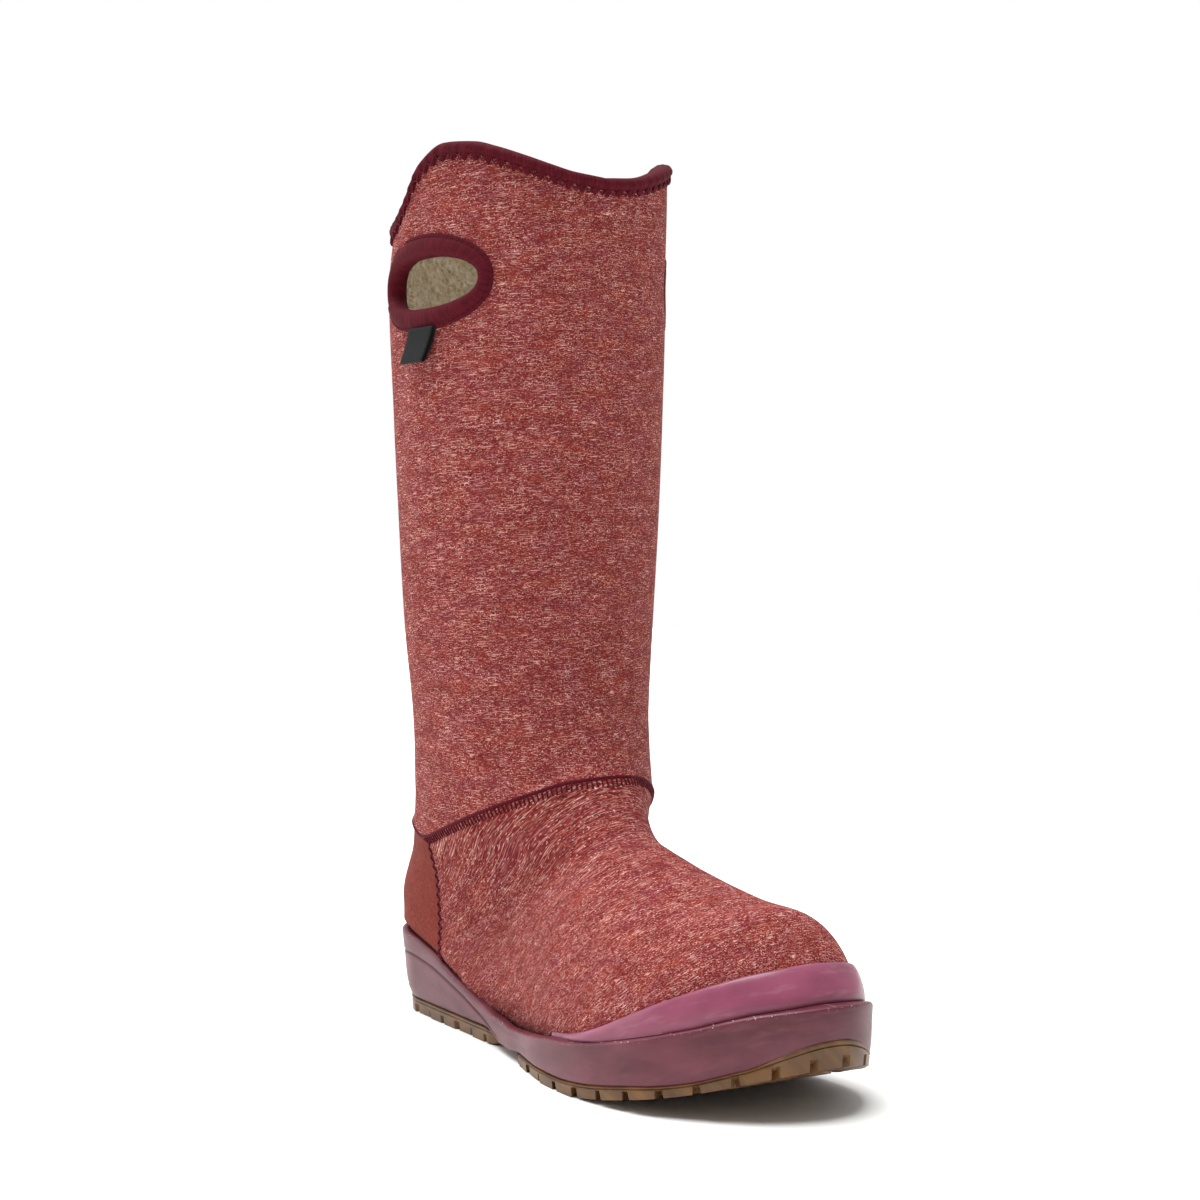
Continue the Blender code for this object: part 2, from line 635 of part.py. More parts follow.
def make_side_tab():
    """Small folded cloth tab that hangs from the right handle's binding."""
    top_z = HEIGHT - HANDLE_DROP - HANDLE_HEIGHT / 2 - HANDLE_BAND - GAP
    rows, columns = TAB_ROWS, TAB_COLUMNS
    points = []
    for offset in (GAP, GAP + TAB_WALL):
        for row in range(rows):
            down = TAB_LENGTH * row / (rows - 1)
            for column in range(columns):
                across = TAB_WIDTH * (column / (columns - 1) - 0.5)
                x = np.array([HANDLE_X + across - TAB_LEAN * down])
                place = side_point(x, np.array([top_z - down]), LATERAL)
                lift = offset + TAB_LIFT * (down / TAB_LENGTH) ** 2
                points.append((place + lift * outward(place))[0])
    faces = []
    layer = rows * columns
    for row in range(rows - 1):
        for column in range(columns - 1):
            a = row * columns + column
            b, c, d = a + 1, a + columns + 1, a + columns
            faces += [(a, b, c, d), (layer + d, layer + c, layer + b, layer + a)]
    rim = list(range(columns)) + [columns * (r + 1) - 1 for r in range(1, rows)]
    rim += [layer - 1 - c for c in range(1, columns)] + [columns * r for r in range(rows - 2, 0, -1)]
    for a, b in zip(rim, rim[1:] + rim[:1]):
        faces.append((b, a, layer + a, layer + b))
    make_object("side_tab", points, faces, TAB_CLOTH)


def make_toe_bumper():
    """Rubber bumper on the cup's edge round the toe, on the upper's own surface."""
    first = bumper_turn()
    turn = np.linspace(first, 2 - first, BUMPER_COLUMNS)
    share = smooth_step(BUMPER_SWELL * np.sin(np.pi * (turn - first) / (2 - 2 * first)))
    low = cup_top(plan_point(turn, 0.0)[:, 0]) + RIM_GAP
    high = low + BUMPER_TIP + BUMPER_HEIGHT * share
    outer, inner = [], []
    for height, thick in ((low, 1.0), ((low + high) / 2, 1.0), (high, BUMPER_EDGE)):
        place = wall_point(turn, height)
        normals = outward(place)
        outer.append(place + (GAP + FACET_ROOM + BUMPER_WALL * thick) * normals)
        inner.append(place + (GAP + FACET_ROOM) * normals)
    for ring in (outer[0], inner[0]):
        ring[:, 2] = low
    rows = outer + inner[::-1]
    count = BUMPER_COLUMNS
    faces = []
    for row in range(len(rows)):
        above = (row + 1) % len(rows)
        for i in range(count - 1):
            faces.append((row * count + i, above * count + i, above * count + i + 1, row * count + i + 1))
    faces.append(tuple(row * count for row in range(len(rows))))
    faces.append(tuple(row * count + count - 1 for row in range(len(rows))))
    make_object("toe_bumper", np.concatenate(rows), faces, BUMPER_RUBBER)


def bumper_turn():
    """Turn at which the bumper begins on the lateral side."""
    turn = np.linspace(0.0, 1.0, FINE)
    return float(np.interp(BUMPER_START * LENGTH, plan_point(turn, 0.0)[:, 0], turn))


def undercut(x):
    """How far the cup's lower edge is drawn in."""
    return along(PROFILE, "under", x / LENGTH) * CUP_UNDERCUT


def waist_part(x):
    """1 at the arch, 0 at heel and forefoot."""
    start, top, fall, end = WAIST
    share = x / LENGTH
    return smooth_step((share - start) / (top - start)) * (1 - smooth_step((share - fall) / (end - fall)))


def make_midsole():
    """Cup of rubber: foxing wall, tray floor and the face that sits on the outsole."""
    turn = turns(SOLE_COLUMNS)
    count = len(turn)
    edge = plan_point(turn, 0.0)
    x = edge[:, 0]
    base = plan_point(turn, undercut(x))
    joint = plan_point(turn, undercut(x) + JOINT_STEP + waist_part(x) * WAIST_INSET)
    joint[:, 2] = gum_top(joint[:, 0]) + GAP
    low_z = gum_top(base[:, 0]) + GAP + CHAMFER - WAIST_LIP * waist_part(x)
    base[:, 2] = low_z
    top_z = cup_top(x)
    rings = [joint, base]
    heel = 1 - smooth_step((x / LENGTH - GROOVE_ENDS[0]) / (GROOVE_ENDS[1] - GROOVE_ENDS[0]))
    groove_z = top_z - GROOVE_PLACE * (top_z - low_z)
    steps = (
        (groove_z - GROOVE_WIDTH, LOWER_WALL, 0.0),
        (groove_z - GROOVE_WIDTH * (1 - GROOVE_FLANK), LOWER_WALL, 1.0),
        (groove_z - GROOVE_WIDTH * GROOVE_FLANK, UPPER_WALL, 1.0),
        (groove_z, UPPER_WALL, 0.0),
        (top_z - RIM_ROUND, 0.0, 0.0),
    )
    for z, drawn_in, cut in steps:
        ring = plan_point(turn, drawn_in * undercut(x) + cut * GROOVE_DEPTH * heel)
        ring[:, 2] = z
        rings.append(ring)
    rim = plan_point(turn, RIM_ROUND + 0 * x)
    rim[:, 2] = top_z
    rings.append(rim)
    for z in (top_z, (top_z + tray(x)) / 2, tray(x) + CHAMFER):
        place = wall_point(turn, z)
        normals = outward(place)
        normals[:, 2] = 0.0
        normals /= np.linalg.norm(normals, axis=-1, keepdims=True)
        ring = place + RIM_GAP * normals
        ring[:, 2] = z
        rings.append(ring)
    floor = rings[-1].copy()
    floor[:, 2] = tray(floor[:, 0])
    rings[-1] = floor
    rings.append(plan_point(turn, CUP_WALL + MARGIN + 0 * x))
    rings[-1][:, 2] = tray(rings[-1][:, 0])
    faces = ring_faces(len(rings), count)
    faces += strip_faces(0, count)
    faces += strip_faces((len(rings) - 1) * count, count)
    make_object("midsole", np.concatenate(rings), faces, CUP_RUBBER)


def lug_columns():
    """Turns of the outsole's columns and whether each stands on a lug."""
    fine = np.linspace(0.0, 1.0, FINE)
    edge = plan_point(fine, 0.0)
    walked = np.concatenate([[0.0], np.cumsum(np.linalg.norm(np.diff(edge, axis=0), axis=1))])
    pairs = max(int(round(walked[-1] / LUG_PITCH)), 4)
    pitch = walked[-1] / (pairs - 0.5)
    marks, on_lug = [], []
    for i in range(pairs):
        middle = i * pitch
        half_lug = (pitch - LUG_NOTCH) / 2
        for offset, is_lug in ((-half_lug - LUG_DRAFT, False), (-half_lug, True),
                               (half_lug, True), (half_lug + LUG_DRAFT, False)):
            marks.append(middle + offset)
            on_lug.append(is_lug)
    marks, on_lug = np.array(marks), np.array(on_lug)
    inside = (marks > 0) & (marks < walked[-1])
    side = np.interp(marks[inside], walked, fine)
    lug = on_lug[inside]
    turn = np.concatenate([[0.0], side, [1.0], 2 - side[::-1]])
    stands = np.concatenate([[True], lug, [lug[-1]], lug[::-1]])
    return turn, stands


def make_outsole():
    """Gum rubber plate with lugs round its edge, cross bars under it and a raised arch."""
    turn, stands = lug_columns()
    count = len(turn)
    x = plan_point(turn, 0.0)[:, 0]
    inset = undercut(x) + waist_part(x) * WAIST_INSET
    joint = plan_point(turn, inset + JOINT_STEP)
    joint[:, 2] = gum_top(joint[:, 0])
    band_top = plan_point(turn, inset)
    band_top[:, 2] = gum_top(band_top[:, 0]) - CHAMFER
    low = ground(band_top[:, 0])
    notch = np.where(stands, 0.0, 1.0)
    depth = np.minimum(LUG_DEPTH, LUG_SHARE * (gum_top(band_top[:, 0]) - low))
    rings = [joint, band_top]
    band_low = plan_point(turn, inset)
    band_low[:, 2] = low + depth + CHAMFER
    rings.append(band_low)
    for reach in (LUG_STEP * notch, LUG_REACH + 0 * notch):
        ring = plan_point(turn, inset + reach + CHAMFER)
        ring[:, 2] = ground(ring[:, 0]) + depth * notch
        rings.append(ring)
    for reach, height in ((LUG_REACH + 2 * CHAMFER, 1.0), (LUG_REACH + TREAD_GAP, 1.0),
                          (LUG_REACH + TREAD_GAP + 2 * CHAMFER, 0.0)):
        ring = plan_point(turn, inset + reach)
        ring[:, 2] = ground(ring[:, 0]) + depth * np.where(stands, height, 1.0)
        rings.append(ring)
    half = count // 2
    inner = rings[-1]
    points = np.concatenate(rings)
    middle = []
    for i in range(1, half):
        across = (inner[i] + inner[count - i]) / 2
        across[0] += CHEVRON * rounded_end(np.abs(inner[i, 1] - inner[count - i, 1]) / BALL_WIDTH)
        across[2] = ground(across[0]) + (0.0 if stands[i] else depth[i])
        middle.append(across)
    faces = ring_faces(len(rings), count)
    faces += strip_faces(0, count)
    start = (len(rings) - 1) * count
    spine = [start] + [len(points) + i for i in range(half - 1)] + [start + half]
    for i in range(half):
        left = (start + i, start + i + 1, spine[i + 1], spine[i])
        right = (spine[i], spine[i + 1], start + (count - i - 1) % count, start + (count - i) % count)
        for face in (left, right):
            corners = [p for n, p in enumerate(face) if p not in face[:n]]
            if len(corners) > 2:
                faces.append(tuple(corners))
    make_object("outsole", np.concatenate([points, np.array(middle)]), faces, GUM_RUBBER)


def make_insole():
    """Removable footbed on the turned-in margin."""
    turn = turns(COLUMNS)
    inset = CUP_WALL + WALL + INSOLE_EASE
    low = plan_point(turn, inset + 0 * turn)
    low[:, 2] = tray(low[:, 0]) + 3 * GAP + WALL
    high = low.copy()
    high[:, 2] += INSOLE_WALL
    faces = ring_faces(2, COLUMNS)
    faces += strip_faces(0, COLUMNS) + strip_faces(COLUMNS, COLUMNS)
    make_object("insole", np.concatenate([low, high]), faces, FOOTBED_FELT)


def main():
    """Build the boot, from the ground up."""
    clear_scene()
    make_outsole()
    make_midsole()
    make_insole()
    make_upper()
    make_toe_bumper()
    make_collar_binding()
    make_handle_binding(LATERAL, "handle_binding_right")
    make_handle_binding(MEDIAL, "handle_binding_left")
    make_side_tab()


main()
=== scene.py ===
"""Looks of a tall pull-on winter boot, right foot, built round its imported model.

The boot stands empty on its sole. Lengths are in metres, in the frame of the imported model:
+X towards the toe, +Y towards the other foot, +Z up, and the floor at zero. One smooth form
of foot and leg carries the textile upper and whatever is sewn or moulded on to it.
"""

import logging
import math
from dataclasses import dataclass, field
from enum import Enum
from typing import Callable, NamedTuple, Optional, Sequence, Union

import bmesh
import bpy
import numpy as np
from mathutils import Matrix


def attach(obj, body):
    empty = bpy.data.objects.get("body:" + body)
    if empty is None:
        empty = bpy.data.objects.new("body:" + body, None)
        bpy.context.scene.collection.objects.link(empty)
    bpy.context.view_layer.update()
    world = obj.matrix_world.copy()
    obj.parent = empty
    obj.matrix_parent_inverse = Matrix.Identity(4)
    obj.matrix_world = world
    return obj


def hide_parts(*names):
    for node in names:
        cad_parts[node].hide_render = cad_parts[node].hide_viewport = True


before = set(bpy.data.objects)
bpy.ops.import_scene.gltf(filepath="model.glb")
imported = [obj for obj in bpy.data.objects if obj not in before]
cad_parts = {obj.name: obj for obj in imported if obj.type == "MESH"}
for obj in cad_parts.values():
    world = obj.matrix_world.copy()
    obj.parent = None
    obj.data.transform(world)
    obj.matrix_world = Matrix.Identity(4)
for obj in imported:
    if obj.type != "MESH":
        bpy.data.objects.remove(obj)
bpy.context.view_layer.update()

LOG = logging.getLogger("boot")
Array = np.ndarray
Setting = Union[float, int, bool, str, tuple, list]
MM = 0.001
BODY = "root"


class Side(Enum):
    """Side of the right boot, by the sign of its Y."""

    LATERAL = -1.0
    MEDIAL = 1.0


class PlanRow(NamedTuple):
    """Half widths as shares of the ball width, middle line as a share of the toe's swing."""

    along: float
    lateral: float
    medial: float
    centre: float


class ProfileRow(NamedTuple):
    """Side view of the sole, as shares of toe spring, gum, heel seat, cup and undercut."""

    along: float
    ground: float
    gum: float
    seat: float
    cup: float
    under: float


class FootRow(NamedTuple):
    """Top of the foot as a share of the instep height, and how square its section is."""

    along: float
    top: float
    full: float


class LegRow(NamedTuple):
    """Section of the leg at a level: centre, depth and width as shares, and its squareness."""

    level: float
    centre: float
    depth: float
    width: float
    full: float


class FallRow(NamedTuple):
    """Fall of an edge or a seam at a turn round the boot, 0 at the back and 1 at the front."""

    turn: float
    fall: float


class GuideRow(NamedTuple):
    """Inner point and angle from which the front of the upper is sought."""

    place: float
    along: float
    lift: float
    angle: float


PLAN = (
    PlanRow(0.00, 0.378, 0.372, 0.00), PlanRow(0.20, 0.378, 0.365, 0.00),
    PlanRow(0.35, 0.378, 0.335, 0.00), PlanRow(0.50, 0.428, 0.370, 0.00),
    PlanRow(0.62, 0.500, 0.445, 0.00), PlanRow(0.72, 0.518, 0.472, 0.10),
    PlanRow(0.82, 0.492, 0.462, 0.35), PlanRow(0.92, 0.435, 0.432, 0.75),
    PlanRow(1.00, 0.400, 0.400, 1.00),
)
PROFILE = (
    ProfileRow(0.00, 0.20, 0.82, 0.90, 0.90, 1.00), ProfileRow(0.08, 0.00, 1.00, 1.00, 0.99, 1.00),
    ProfileRow(0.19, 0.00, 1.00, 1.00, 0.87, 0.90), ProfileRow(0.27, 0.00, 1.00, 0.92, 0.66, 0.80),
    ProfileRow(0.36, 0.00, 1.00, 0.72, 0.47, 0.70), ProfileRow(0.43, 0.11, 0.40, 0.46, 0.335, 0.50),
    ProfileRow(0.50, 0.00, 0.74, 0.44, 0.37, 0.30), ProfileRow(0.60, 0.00, 0.80, 0.44, 0.46, 0.25),
    ProfileRow(0.67, 0.00, 0.80, 0.44, 0.53, 0.25), ProfileRow(0.73, 0.05, 0.80, 0.44, 0.55, 0.25),
    ProfileRow(0.82, 0.25, 0.72, 0.46, 0.582, 0.25),
    ProfileRow(0.89, 0.46, 0.60, 0.50, 0.614, 0.25),
    ProfileRow(0.95, 0.74, 0.70, 0.53, 0.624, 0.25), ProfileRow(1.00, 1.00, 1.46, 0.56, 0.58, 0.25),
)
FOOT = (
    FootRow(0.00, 0.35, 2.2), FootRow(0.30, 0.55, 2.1), FootRow(0.45, 0.86, 1.9),
    FootRow(0.53, 0.96, 1.8), FootRow(0.59, 0.90, 1.9), FootRow(0.68, 0.82, 2.0),
    FootRow(0.75, 0.74, 2.2), FootRow(0.82, 0.655, 2.3), FootRow(0.89, 0.61, 2.5),
    FootRow(1.00, 0.60, 2.5),
)
LEG = (
    LegRow(0.00, 0.190, 0.660, 0.49, 2.5), LegRow(0.20, 0.192, 0.685, 0.515, 2.5),
    LegRow(0.35, 0.196, 0.735, 0.555, 2.6), LegRow(0.48, 0.197, 0.775, 0.615, 2.6),
    LegRow(0.62, 0.219, 0.860, 0.655, 2.4), LegRow(0.74, 0.249, 0.91, 0.70, 2.2),
    LegRow(0.84, 0.274, 0.97, 0.75, 2.1), LegRow(1.00, 0.285, 0.99, 0.79, 2.0),
    LegRow(1.06, 0.281, 0.955, 0.80, 2.0), LegRow(1.13, 0.276, 0.925, 0.82, 2.0),
    LegRow(1.25, 0.272, 0.935, 0.87, 2.0), LegRow(1.41, 0.273, 0.970, 0.915, 2.0),
    LegRow(1.59, 0.269, 1.000, 0.955, 2.0), LegRow(1.80, 0.267, 1.000, 0.990, 2.0),
    LegRow(1.91, 0.280, 0.975, 0.975, 2.0), LegRow(2.00, 0.290, 0.960, 0.955, 2.0),
)
COLLAR_EDGE = (
    FallRow(0.00, 0.85), FallRow(0.10, 0.87), FallRow(0.20, 0.92), FallRow(0.30, 0.98),
    FallRow(0.36, 1.00), FallRow(0.42, 0.96), FallRow(0.47, 0.75), FallRow(0.53, 0.22),
    FallRow(0.60, 0.00), FallRow(0.67, 0.05), FallRow(0.72, 0.16), FallRow(0.78, 0.31),
    FallRow(0.85, 0.47), FallRow(0.91, 0.57), FallRow(1.00, 0.63),
)
ANKLE_LINE = (
    FallRow(0.00, 0.00), FallRow(0.13, 0.08), FallRow(0.27, 0.43), FallRow(0.41, 1.00),
    FallRow(0.53, 0.82), FallRow(0.62, 0.62), FallRow(0.69, 0.45), FallRow(0.78, 0.24),
    FallRow(0.88, 0.04), FallRow(1.00, 0.00),
)
FRONT_GUIDES = (
    GuideRow(0.000, 0.84, 0.10, 0.0), GuideRow(0.125, 0.84, 0.25, 12.0),
    GuideRow(0.250, 0.82, 0.30, 45.0), GuideRow(0.375, 0.79, 0.30, 72.0),
    GuideRow(0.500, 0.70, 0.35, 78.0), GuideRow(0.625, 0.60, 0.45, 72.0),
    GuideRow(0.750, 0.50, 0.60, 58.0), GuideRow(0.875, 0.38, 0.80, 30.0),
    GuideRow(1.000, 0.33, 1.05, 0.0),
)


def linear(hex_colour: str) -> tuple[float, float, float, float]:
    """Linear colour of an sRGB hex value.

    Args:
        hex_colour: Colour such as "#8F4D48".

    Returns:
        Red, green, blue and alpha for a shader socket.
    """
    parts = [int(hex_colour[i:i + 2], 16) / 255 for i in (1, 3, 5)]
    red, green, blue = (p / 12.92 if p <= 0.04045 else ((p + 0.055) / 1.055) ** 2.4 for p in parts)
    return red, green, blue, 1.0


def add_node(tree: bpy.types.NodeTree, kind: str, settings: Optional[dict] = None,
             links: Optional[dict] = None) -> bpy.types.Node:
    """Add one node with its settings and incoming links.

    Args:
        tree: Tree of a material or of geometry nodes.
        kind: Blender's type name of the node.
        settings: Values by property name, input name or input number.
        links: Sockets to link from, by input name or input number.

    Returns:
        The new node.
    """
    node = tree.nodes.new(kind)
    for key, value in (settings or {}).items():
        if isinstance(key, str) and hasattr(node, key):
            setattr(node, key, value)
        else:
            node.inputs[key].default_value = value
    for key, source in (links or {}).items():
        tree.links.new(source, node.inputs[key])
    return node


def smooth_step(share: Array) -> Array:
    """Value from 0 to 1 with flat ends."""
    share = np.clip(share, 0.0, 1.0)
    return share * share * (3 - 2 * share)


def rounded_end(share: Array) -> Array:
    """Elliptic end: 0 at the tip and 1 from one length inwards."""
    share = np.clip(share, 0.0, 1.0)
    return np.sqrt(np.maximum(1 - (1 - share) ** 2, 0.0))


def unit(vectors: Array) -> Array:
    """Vectors of length one."""
    return vectors / np.maximum(np.linalg.norm(vectors, axis=-1, keepdims=True), 1e-12)


def column(table: Sequence[NamedTuple], name: str, at: Array) -> Array:
    """Smooth value of one column of a table, with no overshoot.

    Args:
        table: Rows in the order of their first column.
        name: Column to read.
        at: Places in the first column.

    Returns:
        Values at those places.
    """
    places = np.array([row[0] for row in table])
    values = np.array([getattr(row, name) for row in table])
    steps = np.diff(places)
    slopes = np.diff(values) / steps
    tangents = np.zeros(len(places))
    tangents[0], tangents[-1] = slopes[0], slopes[-1]
    same = slopes[:-1] * slopes[1:] > 0
    before, after = slopes[:-1][same], slopes[1:][same]
    tangents[1:-1][same] = 2 * before * after / (before + after)
    at = np.clip(at, places[0], places[-1])
    i = np.clip(np.searchsorted(places, at, side="right") - 1, 0, len(steps) - 1)
    t = (at - places[i]) / steps[i]
    start = (1 + 2 * t) * (1 - t) ** 2 * values[i] + t * (1 - t) ** 2 * steps[i] * tangents[i]
    end = t * t * (3 - 2 * t) * values[i + 1] - t * t * (1 - t) * steps[i] * tangents[i + 1]
    return start + end


@dataclass(frozen=True)
class BootForm:
    """Sizes and smooth form of the boot's skin and sole. X runs from the back of the sole."""

    length: float = 0.281
    ball_width: float = 0.100
    heel_x: float = 0.0455
    heel_round: float = 0.0375
    toe_round: float = 0.052
    toe_sweep: float = 0.012
    toe_spring: float = 0.0205
    gum: float = 0.0065
    heel_seat: float = 0.0205
    cup_height: float = 0.037
    cup_wall: float = 0.0037
    cup_undercut: float = 0.0045
    height: float = 0.3715
    ankle_height: float = 0.104
    instep_height: float = 0.091
    toe_nose: float = 0.031
    shaft_depth: float = 0.132
    shaft_width: float = 0.117
    collar_drop: float = 0.026
    throat_blend: float = 0.020
    side_blend: float = 0.012
    side_share: float = 0.4
    seam_back: float = 0.088
    seam_sag: float = 0.015
    wall: float = 0.0040
    gap: float = 0.0003
    form_scale: float = 0.035
    spine_share: float = 0.42
    spine_end: float = 0.048
    seam_from: float = 0.45
    seam_to: float = 0.60
    wave_from: float = 0.20
    far: float = 0.25

    def world(self, points: Array) -> Array:
        """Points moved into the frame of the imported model."""
        return points - np.array([self.heel_x, 0.0, 0.0])

    def ground(self, x: Array) -> Array:
        """Lowest surface of the sole above the floor."""
        return column(PROFILE, "ground", x / self.length) * self.toe_spring

    def gum_top(self, x: Array) -> Array:
        """Joint between gum sole and rubber cup."""
        return self.ground(x) + column(PROFILE, "gum", x / self.length) * self.gum

    def tray(self, x: Array) -> Array:
        """Floor of the cup, on which the upper stands."""
        return self.ground(x) + column(PROFILE, "seat", x / self.length) * self.heel_seat

    def cup_top(self, x: Array) -> Array:
        """Top edge of the rubber cup."""
        return self.ground(x) + column(PROFILE, "cup", x / self.length) * self.cup_height

    def undercut(self, x: Array) -> Array:
        """How far the cup's lower edge is drawn in."""
        return column(PROFILE, "under", x / self.length) * self.cup_undercut

    def waist(self, x: Array) -> Array:
        """1 at the arch, 0 at heel and forefoot."""
        share = x / self.length
        return smooth_step((share - 0.37) / 0.06) * (1 - smooth_step((share - 0.46) / 0.06))

    def plan_ratio(self, x: Array, y: Array, inset: Array) -> Array:
        """1 on the sole's outline drawn in by inset, less inside it."""
        share = x / self.length
        centre = column(PLAN, "centre", share) * self.toe_sweep
        lateral = column(PLAN, "lateral", share) * self.ball_width
        medial = column(PLAN, "medial", share) * self.ball_width
        half = np.where(y < centre, lateral, medial) - inset
        heel = np.maximum(self.heel_round - x, 0.0) / (self.heel_round - inset)
        toe = np.maximum(x - self.length + self.toe_round, 0.0) / (self.toe_round - inset)
        return np.sqrt(((y - centre) / half) ** 2 + heel ** 2 + toe ** 2)

    def foot_form(self, x: Array, y: Array, z: Array) -> Array:
        """Below zero inside the foot."""
        share = x / self.length
        reach = self.cup_wall + self.gap
        across = self.plan_ratio(x, y, reach)
        nose = rounded_end((self.length - reach - x) / self.toe_nose)
        top = np.maximum(column(FOOT, "top", share) * self.instep_height * nose, 1e-5)
        up = np.maximum(z - self.tray(x), 0.0) / top
        full = column(FOOT, "full", share)
        ratio = (np.minimum(across, 50.0) ** full + np.minimum(up, 50.0) ** full) ** (1 / full)
        return (ratio - 1) * self.form_scale

    def leg_form(self, x: Array, y: Array, z: Array) -> Array:
        """Below zero inside the leg."""
        above = (z - self.ankle_height) / (self.height - self.ankle_height)
        level = np.where(z < self.ankle_height, z / self.ankle_height, 1 + above)
        centre = column(LEG, "centre", level) * self.length
        half_depth = column(LEG, "depth", level) * self.shaft_depth / 2
        half_width = column(LEG, "width", level) * self.shaft_width / 2
        full = column(LEG, "full", level)
        ratio = np.abs((x - centre) / half_depth) ** full + np.abs(y / half_width) ** full
        return (ratio ** (1 / full) - 1) * half_width

    def form(self, point: Array) -> Array:
        """Below zero inside the boot's outer skin, where leg and foot flow into each other."""
        x, y, z = point[..., 0], point[..., 1], point[..., 2]
        leg, foot = self.leg_form(x, y, z), self.foot_form(x, y, z)
        share = smooth_step((z / self.ankle_height - self.side_share) / self.side_share)
        blend = self.side_blend + (self.throat_blend - self.side_blend) * share
        near = np.maximum(blend - np.abs(leg - foot), 0.0) / blend
        return np.minimum(leg, foot) - near * near * blend / 4

    def outward(self, point: Array) -> Array:
        """Unit normal of the form."""
        step = 1e-4
        axes = np.eye(3) * step
        return unit(np.stack([self.form(point + a) - self.form(point - a) for a in axes], -1))

    def seek(self, value: Callable[[Array], Array], origin: Array, direction: Array) -> Array:
        """Points where a value turns positive along rays.

        Args:
            value: Function of points, negative at the origins.
            origin: Start of each ray.
            direction: Unit direction of each ray.

        Returns:
            The points found.
        """
        shape = np.broadcast_shapes(origin.shape, direction.shape)[:-1]
        low, high = np.zeros(shape), np.full(shape, self.far)
        for _ in range(26):
            middle = (low + high) / 2
            inside = value(origin + middle[..., None] * direction) < 0
            low, high = np.where(inside, middle, low), np.where(inside, high, middle)
        return origin + low[..., None] * direction

    def front_of_foot(self, shares: Array) -> Array:
        """Points on the mid plane from the toe's feather edge up to the throat."""
        turn = np.linspace(0.0, 1.0, 800)
        x = column(FRONT_GUIDES, "along", turn) * self.length
        lift = column(FRONT_GUIDES, "lift", turn) * self.instep_height
        angle = np.radians(column(FRONT_GUIDES, "angle", turn))
        centre = column(PLAN, "centre", x / self.length) * self.toe_sweep
        origin = np.stack([x, centre, self.tray(x) + lift], -1)
        found = self.seek(self.form, origin,
                          np.stack([np.cos(angle), 0 * angle, np.sin(angle)], -1))
        walked = np.concatenate([[0.0], np.cumsum(np.linalg.norm(np.diff(found, axis=0), axis=1))])
        wanted = shares * walked[-1]
        return np.stack([np.interp(wanted, walked, found[:, i]) for i in range(3)], -1)

    def ring_ends(self, level: Array) -> tuple[Array, Array]:
        """Back and front points of rings.

        Args:
            level: 0 at the feather edge, 1 at the ankle seam, 2 at the collar.

        Returns:
            The back points and the front points.
        """
        foot, shaft = np.clip(level, 0.0, 1.0), np.clip(level - 1, 0.0, 1.0)
        feather = self.tray(np.array(0.0)) + self.gap
        back_top = self.height - self.collar_drop * COLLAR_EDGE[0].fall
        front_top = self.height - self.collar_drop * COLLAR_EDGE[-1].fall
        back_z = feather + (self.seam_back - feather) * foot + (back_top - self.seam_back) * shaft
        start = np.stack([self.heel_x + 0 * back_z, 0 * back_z, back_z], -1)
        back = self.seek(self.form, start, np.array([-1.0, 0.0, 0.0]))
        front = self.front_of_foot(foot)
        throat_z = self.front_of_foot(np.array([1.0]))[0, 2]
        front_z = throat_z + (front_top - throat_z) * shaft
        start = np.stack([self.heel_x + 0 * front_z, 0 * front_z, front_z], -1)
        on_shaft = self.seek(self.form, start, np.array([1.0, 0.0, 0.0]))
        return back, np.where((level > 1)[..., None], on_shaft, front)

    def skin(self, level: Array, turn: Array) -> Array:
        """Points of the outer skin.

        Args:
            level: 0 at the feather edge, 1 at the ankle seam, 2 at the collar.
            turn: 0 at the back, 1 at the front, and to 2 round the medial side.

        Returns:
            The points, from the back of the sole.
        """
        level, turn = np.asarray(level, float), np.asarray(turn, float)
        back, front = self.ring_ends(level)
        chord = front - back
        chord[..., 1] = 0.0
        length = np.linalg.norm(chord, axis=-1, keepdims=True)
        chord = chord / length
        reach = np.minimum(self.spine_share * length, self.spine_end)
        angle = np.pi * turn
        share = ((1 - np.cos(angle)) / 2)[..., None]
        first, last = back + reach * chord, front - reach * chord
        origin = first + (last - first) * share
        side = np.stack([0 * angle, -np.sin(angle), 0 * angle], -1)
        direction = side - np.cos(angle)[..., None] * chord
        half_turn = 1 - np.abs(1 - turn)
        shaft = np.clip(level - 1, 0.0, 1.0)
        seam = -self.seam_sag * column(ANKLE_LINE, "fall", half_turn)
        seam_part = smooth_step((level - self.seam_from) / (1 - self.seam_from))
        seam_part = seam_part * (1 - smooth_step(shaft / self.seam_to))
        back_fall, front_fall = COLLAR_EDGE[0].fall, COLLAR_EDGE[-1].fall
        level_fall = back_fall + (front_fall - back_fall) * (1 - np.cos(angle)) / 2
        wave = self.collar_drop * (level_fall - column(COLLAR_EDGE, "fall", half_turn))
        up = seam * seam_part + wave * smooth_step((shaft - self.wave_from) / (1 - self.wave_from))
        origin = origin + np.stack([0 * up, 0 * up, up], -1)
        return self.seek(self.form, origin, unit(direction))

    def plan_ray(self, turn: Array, z: Array) -> tuple[Array, Array]:
        """Origins on the sole's middle line and level directions, for turns round the sole."""
        angle = np.pi * turn
        first, last = self.heel_round, self.length - self.toe_round
        x = first + (last - first) * (1 - np.cos(angle)) / 2
        centre = column(PLAN, "centre", x / self.length) * self.toe_sweep
        origin = np.stack([x + 0 * z, centre + 0 * z, z + 0 * x], -1)
        return origin, np.stack([-np.cos(angle), -np.sin(angle), 0 * angle], -1)

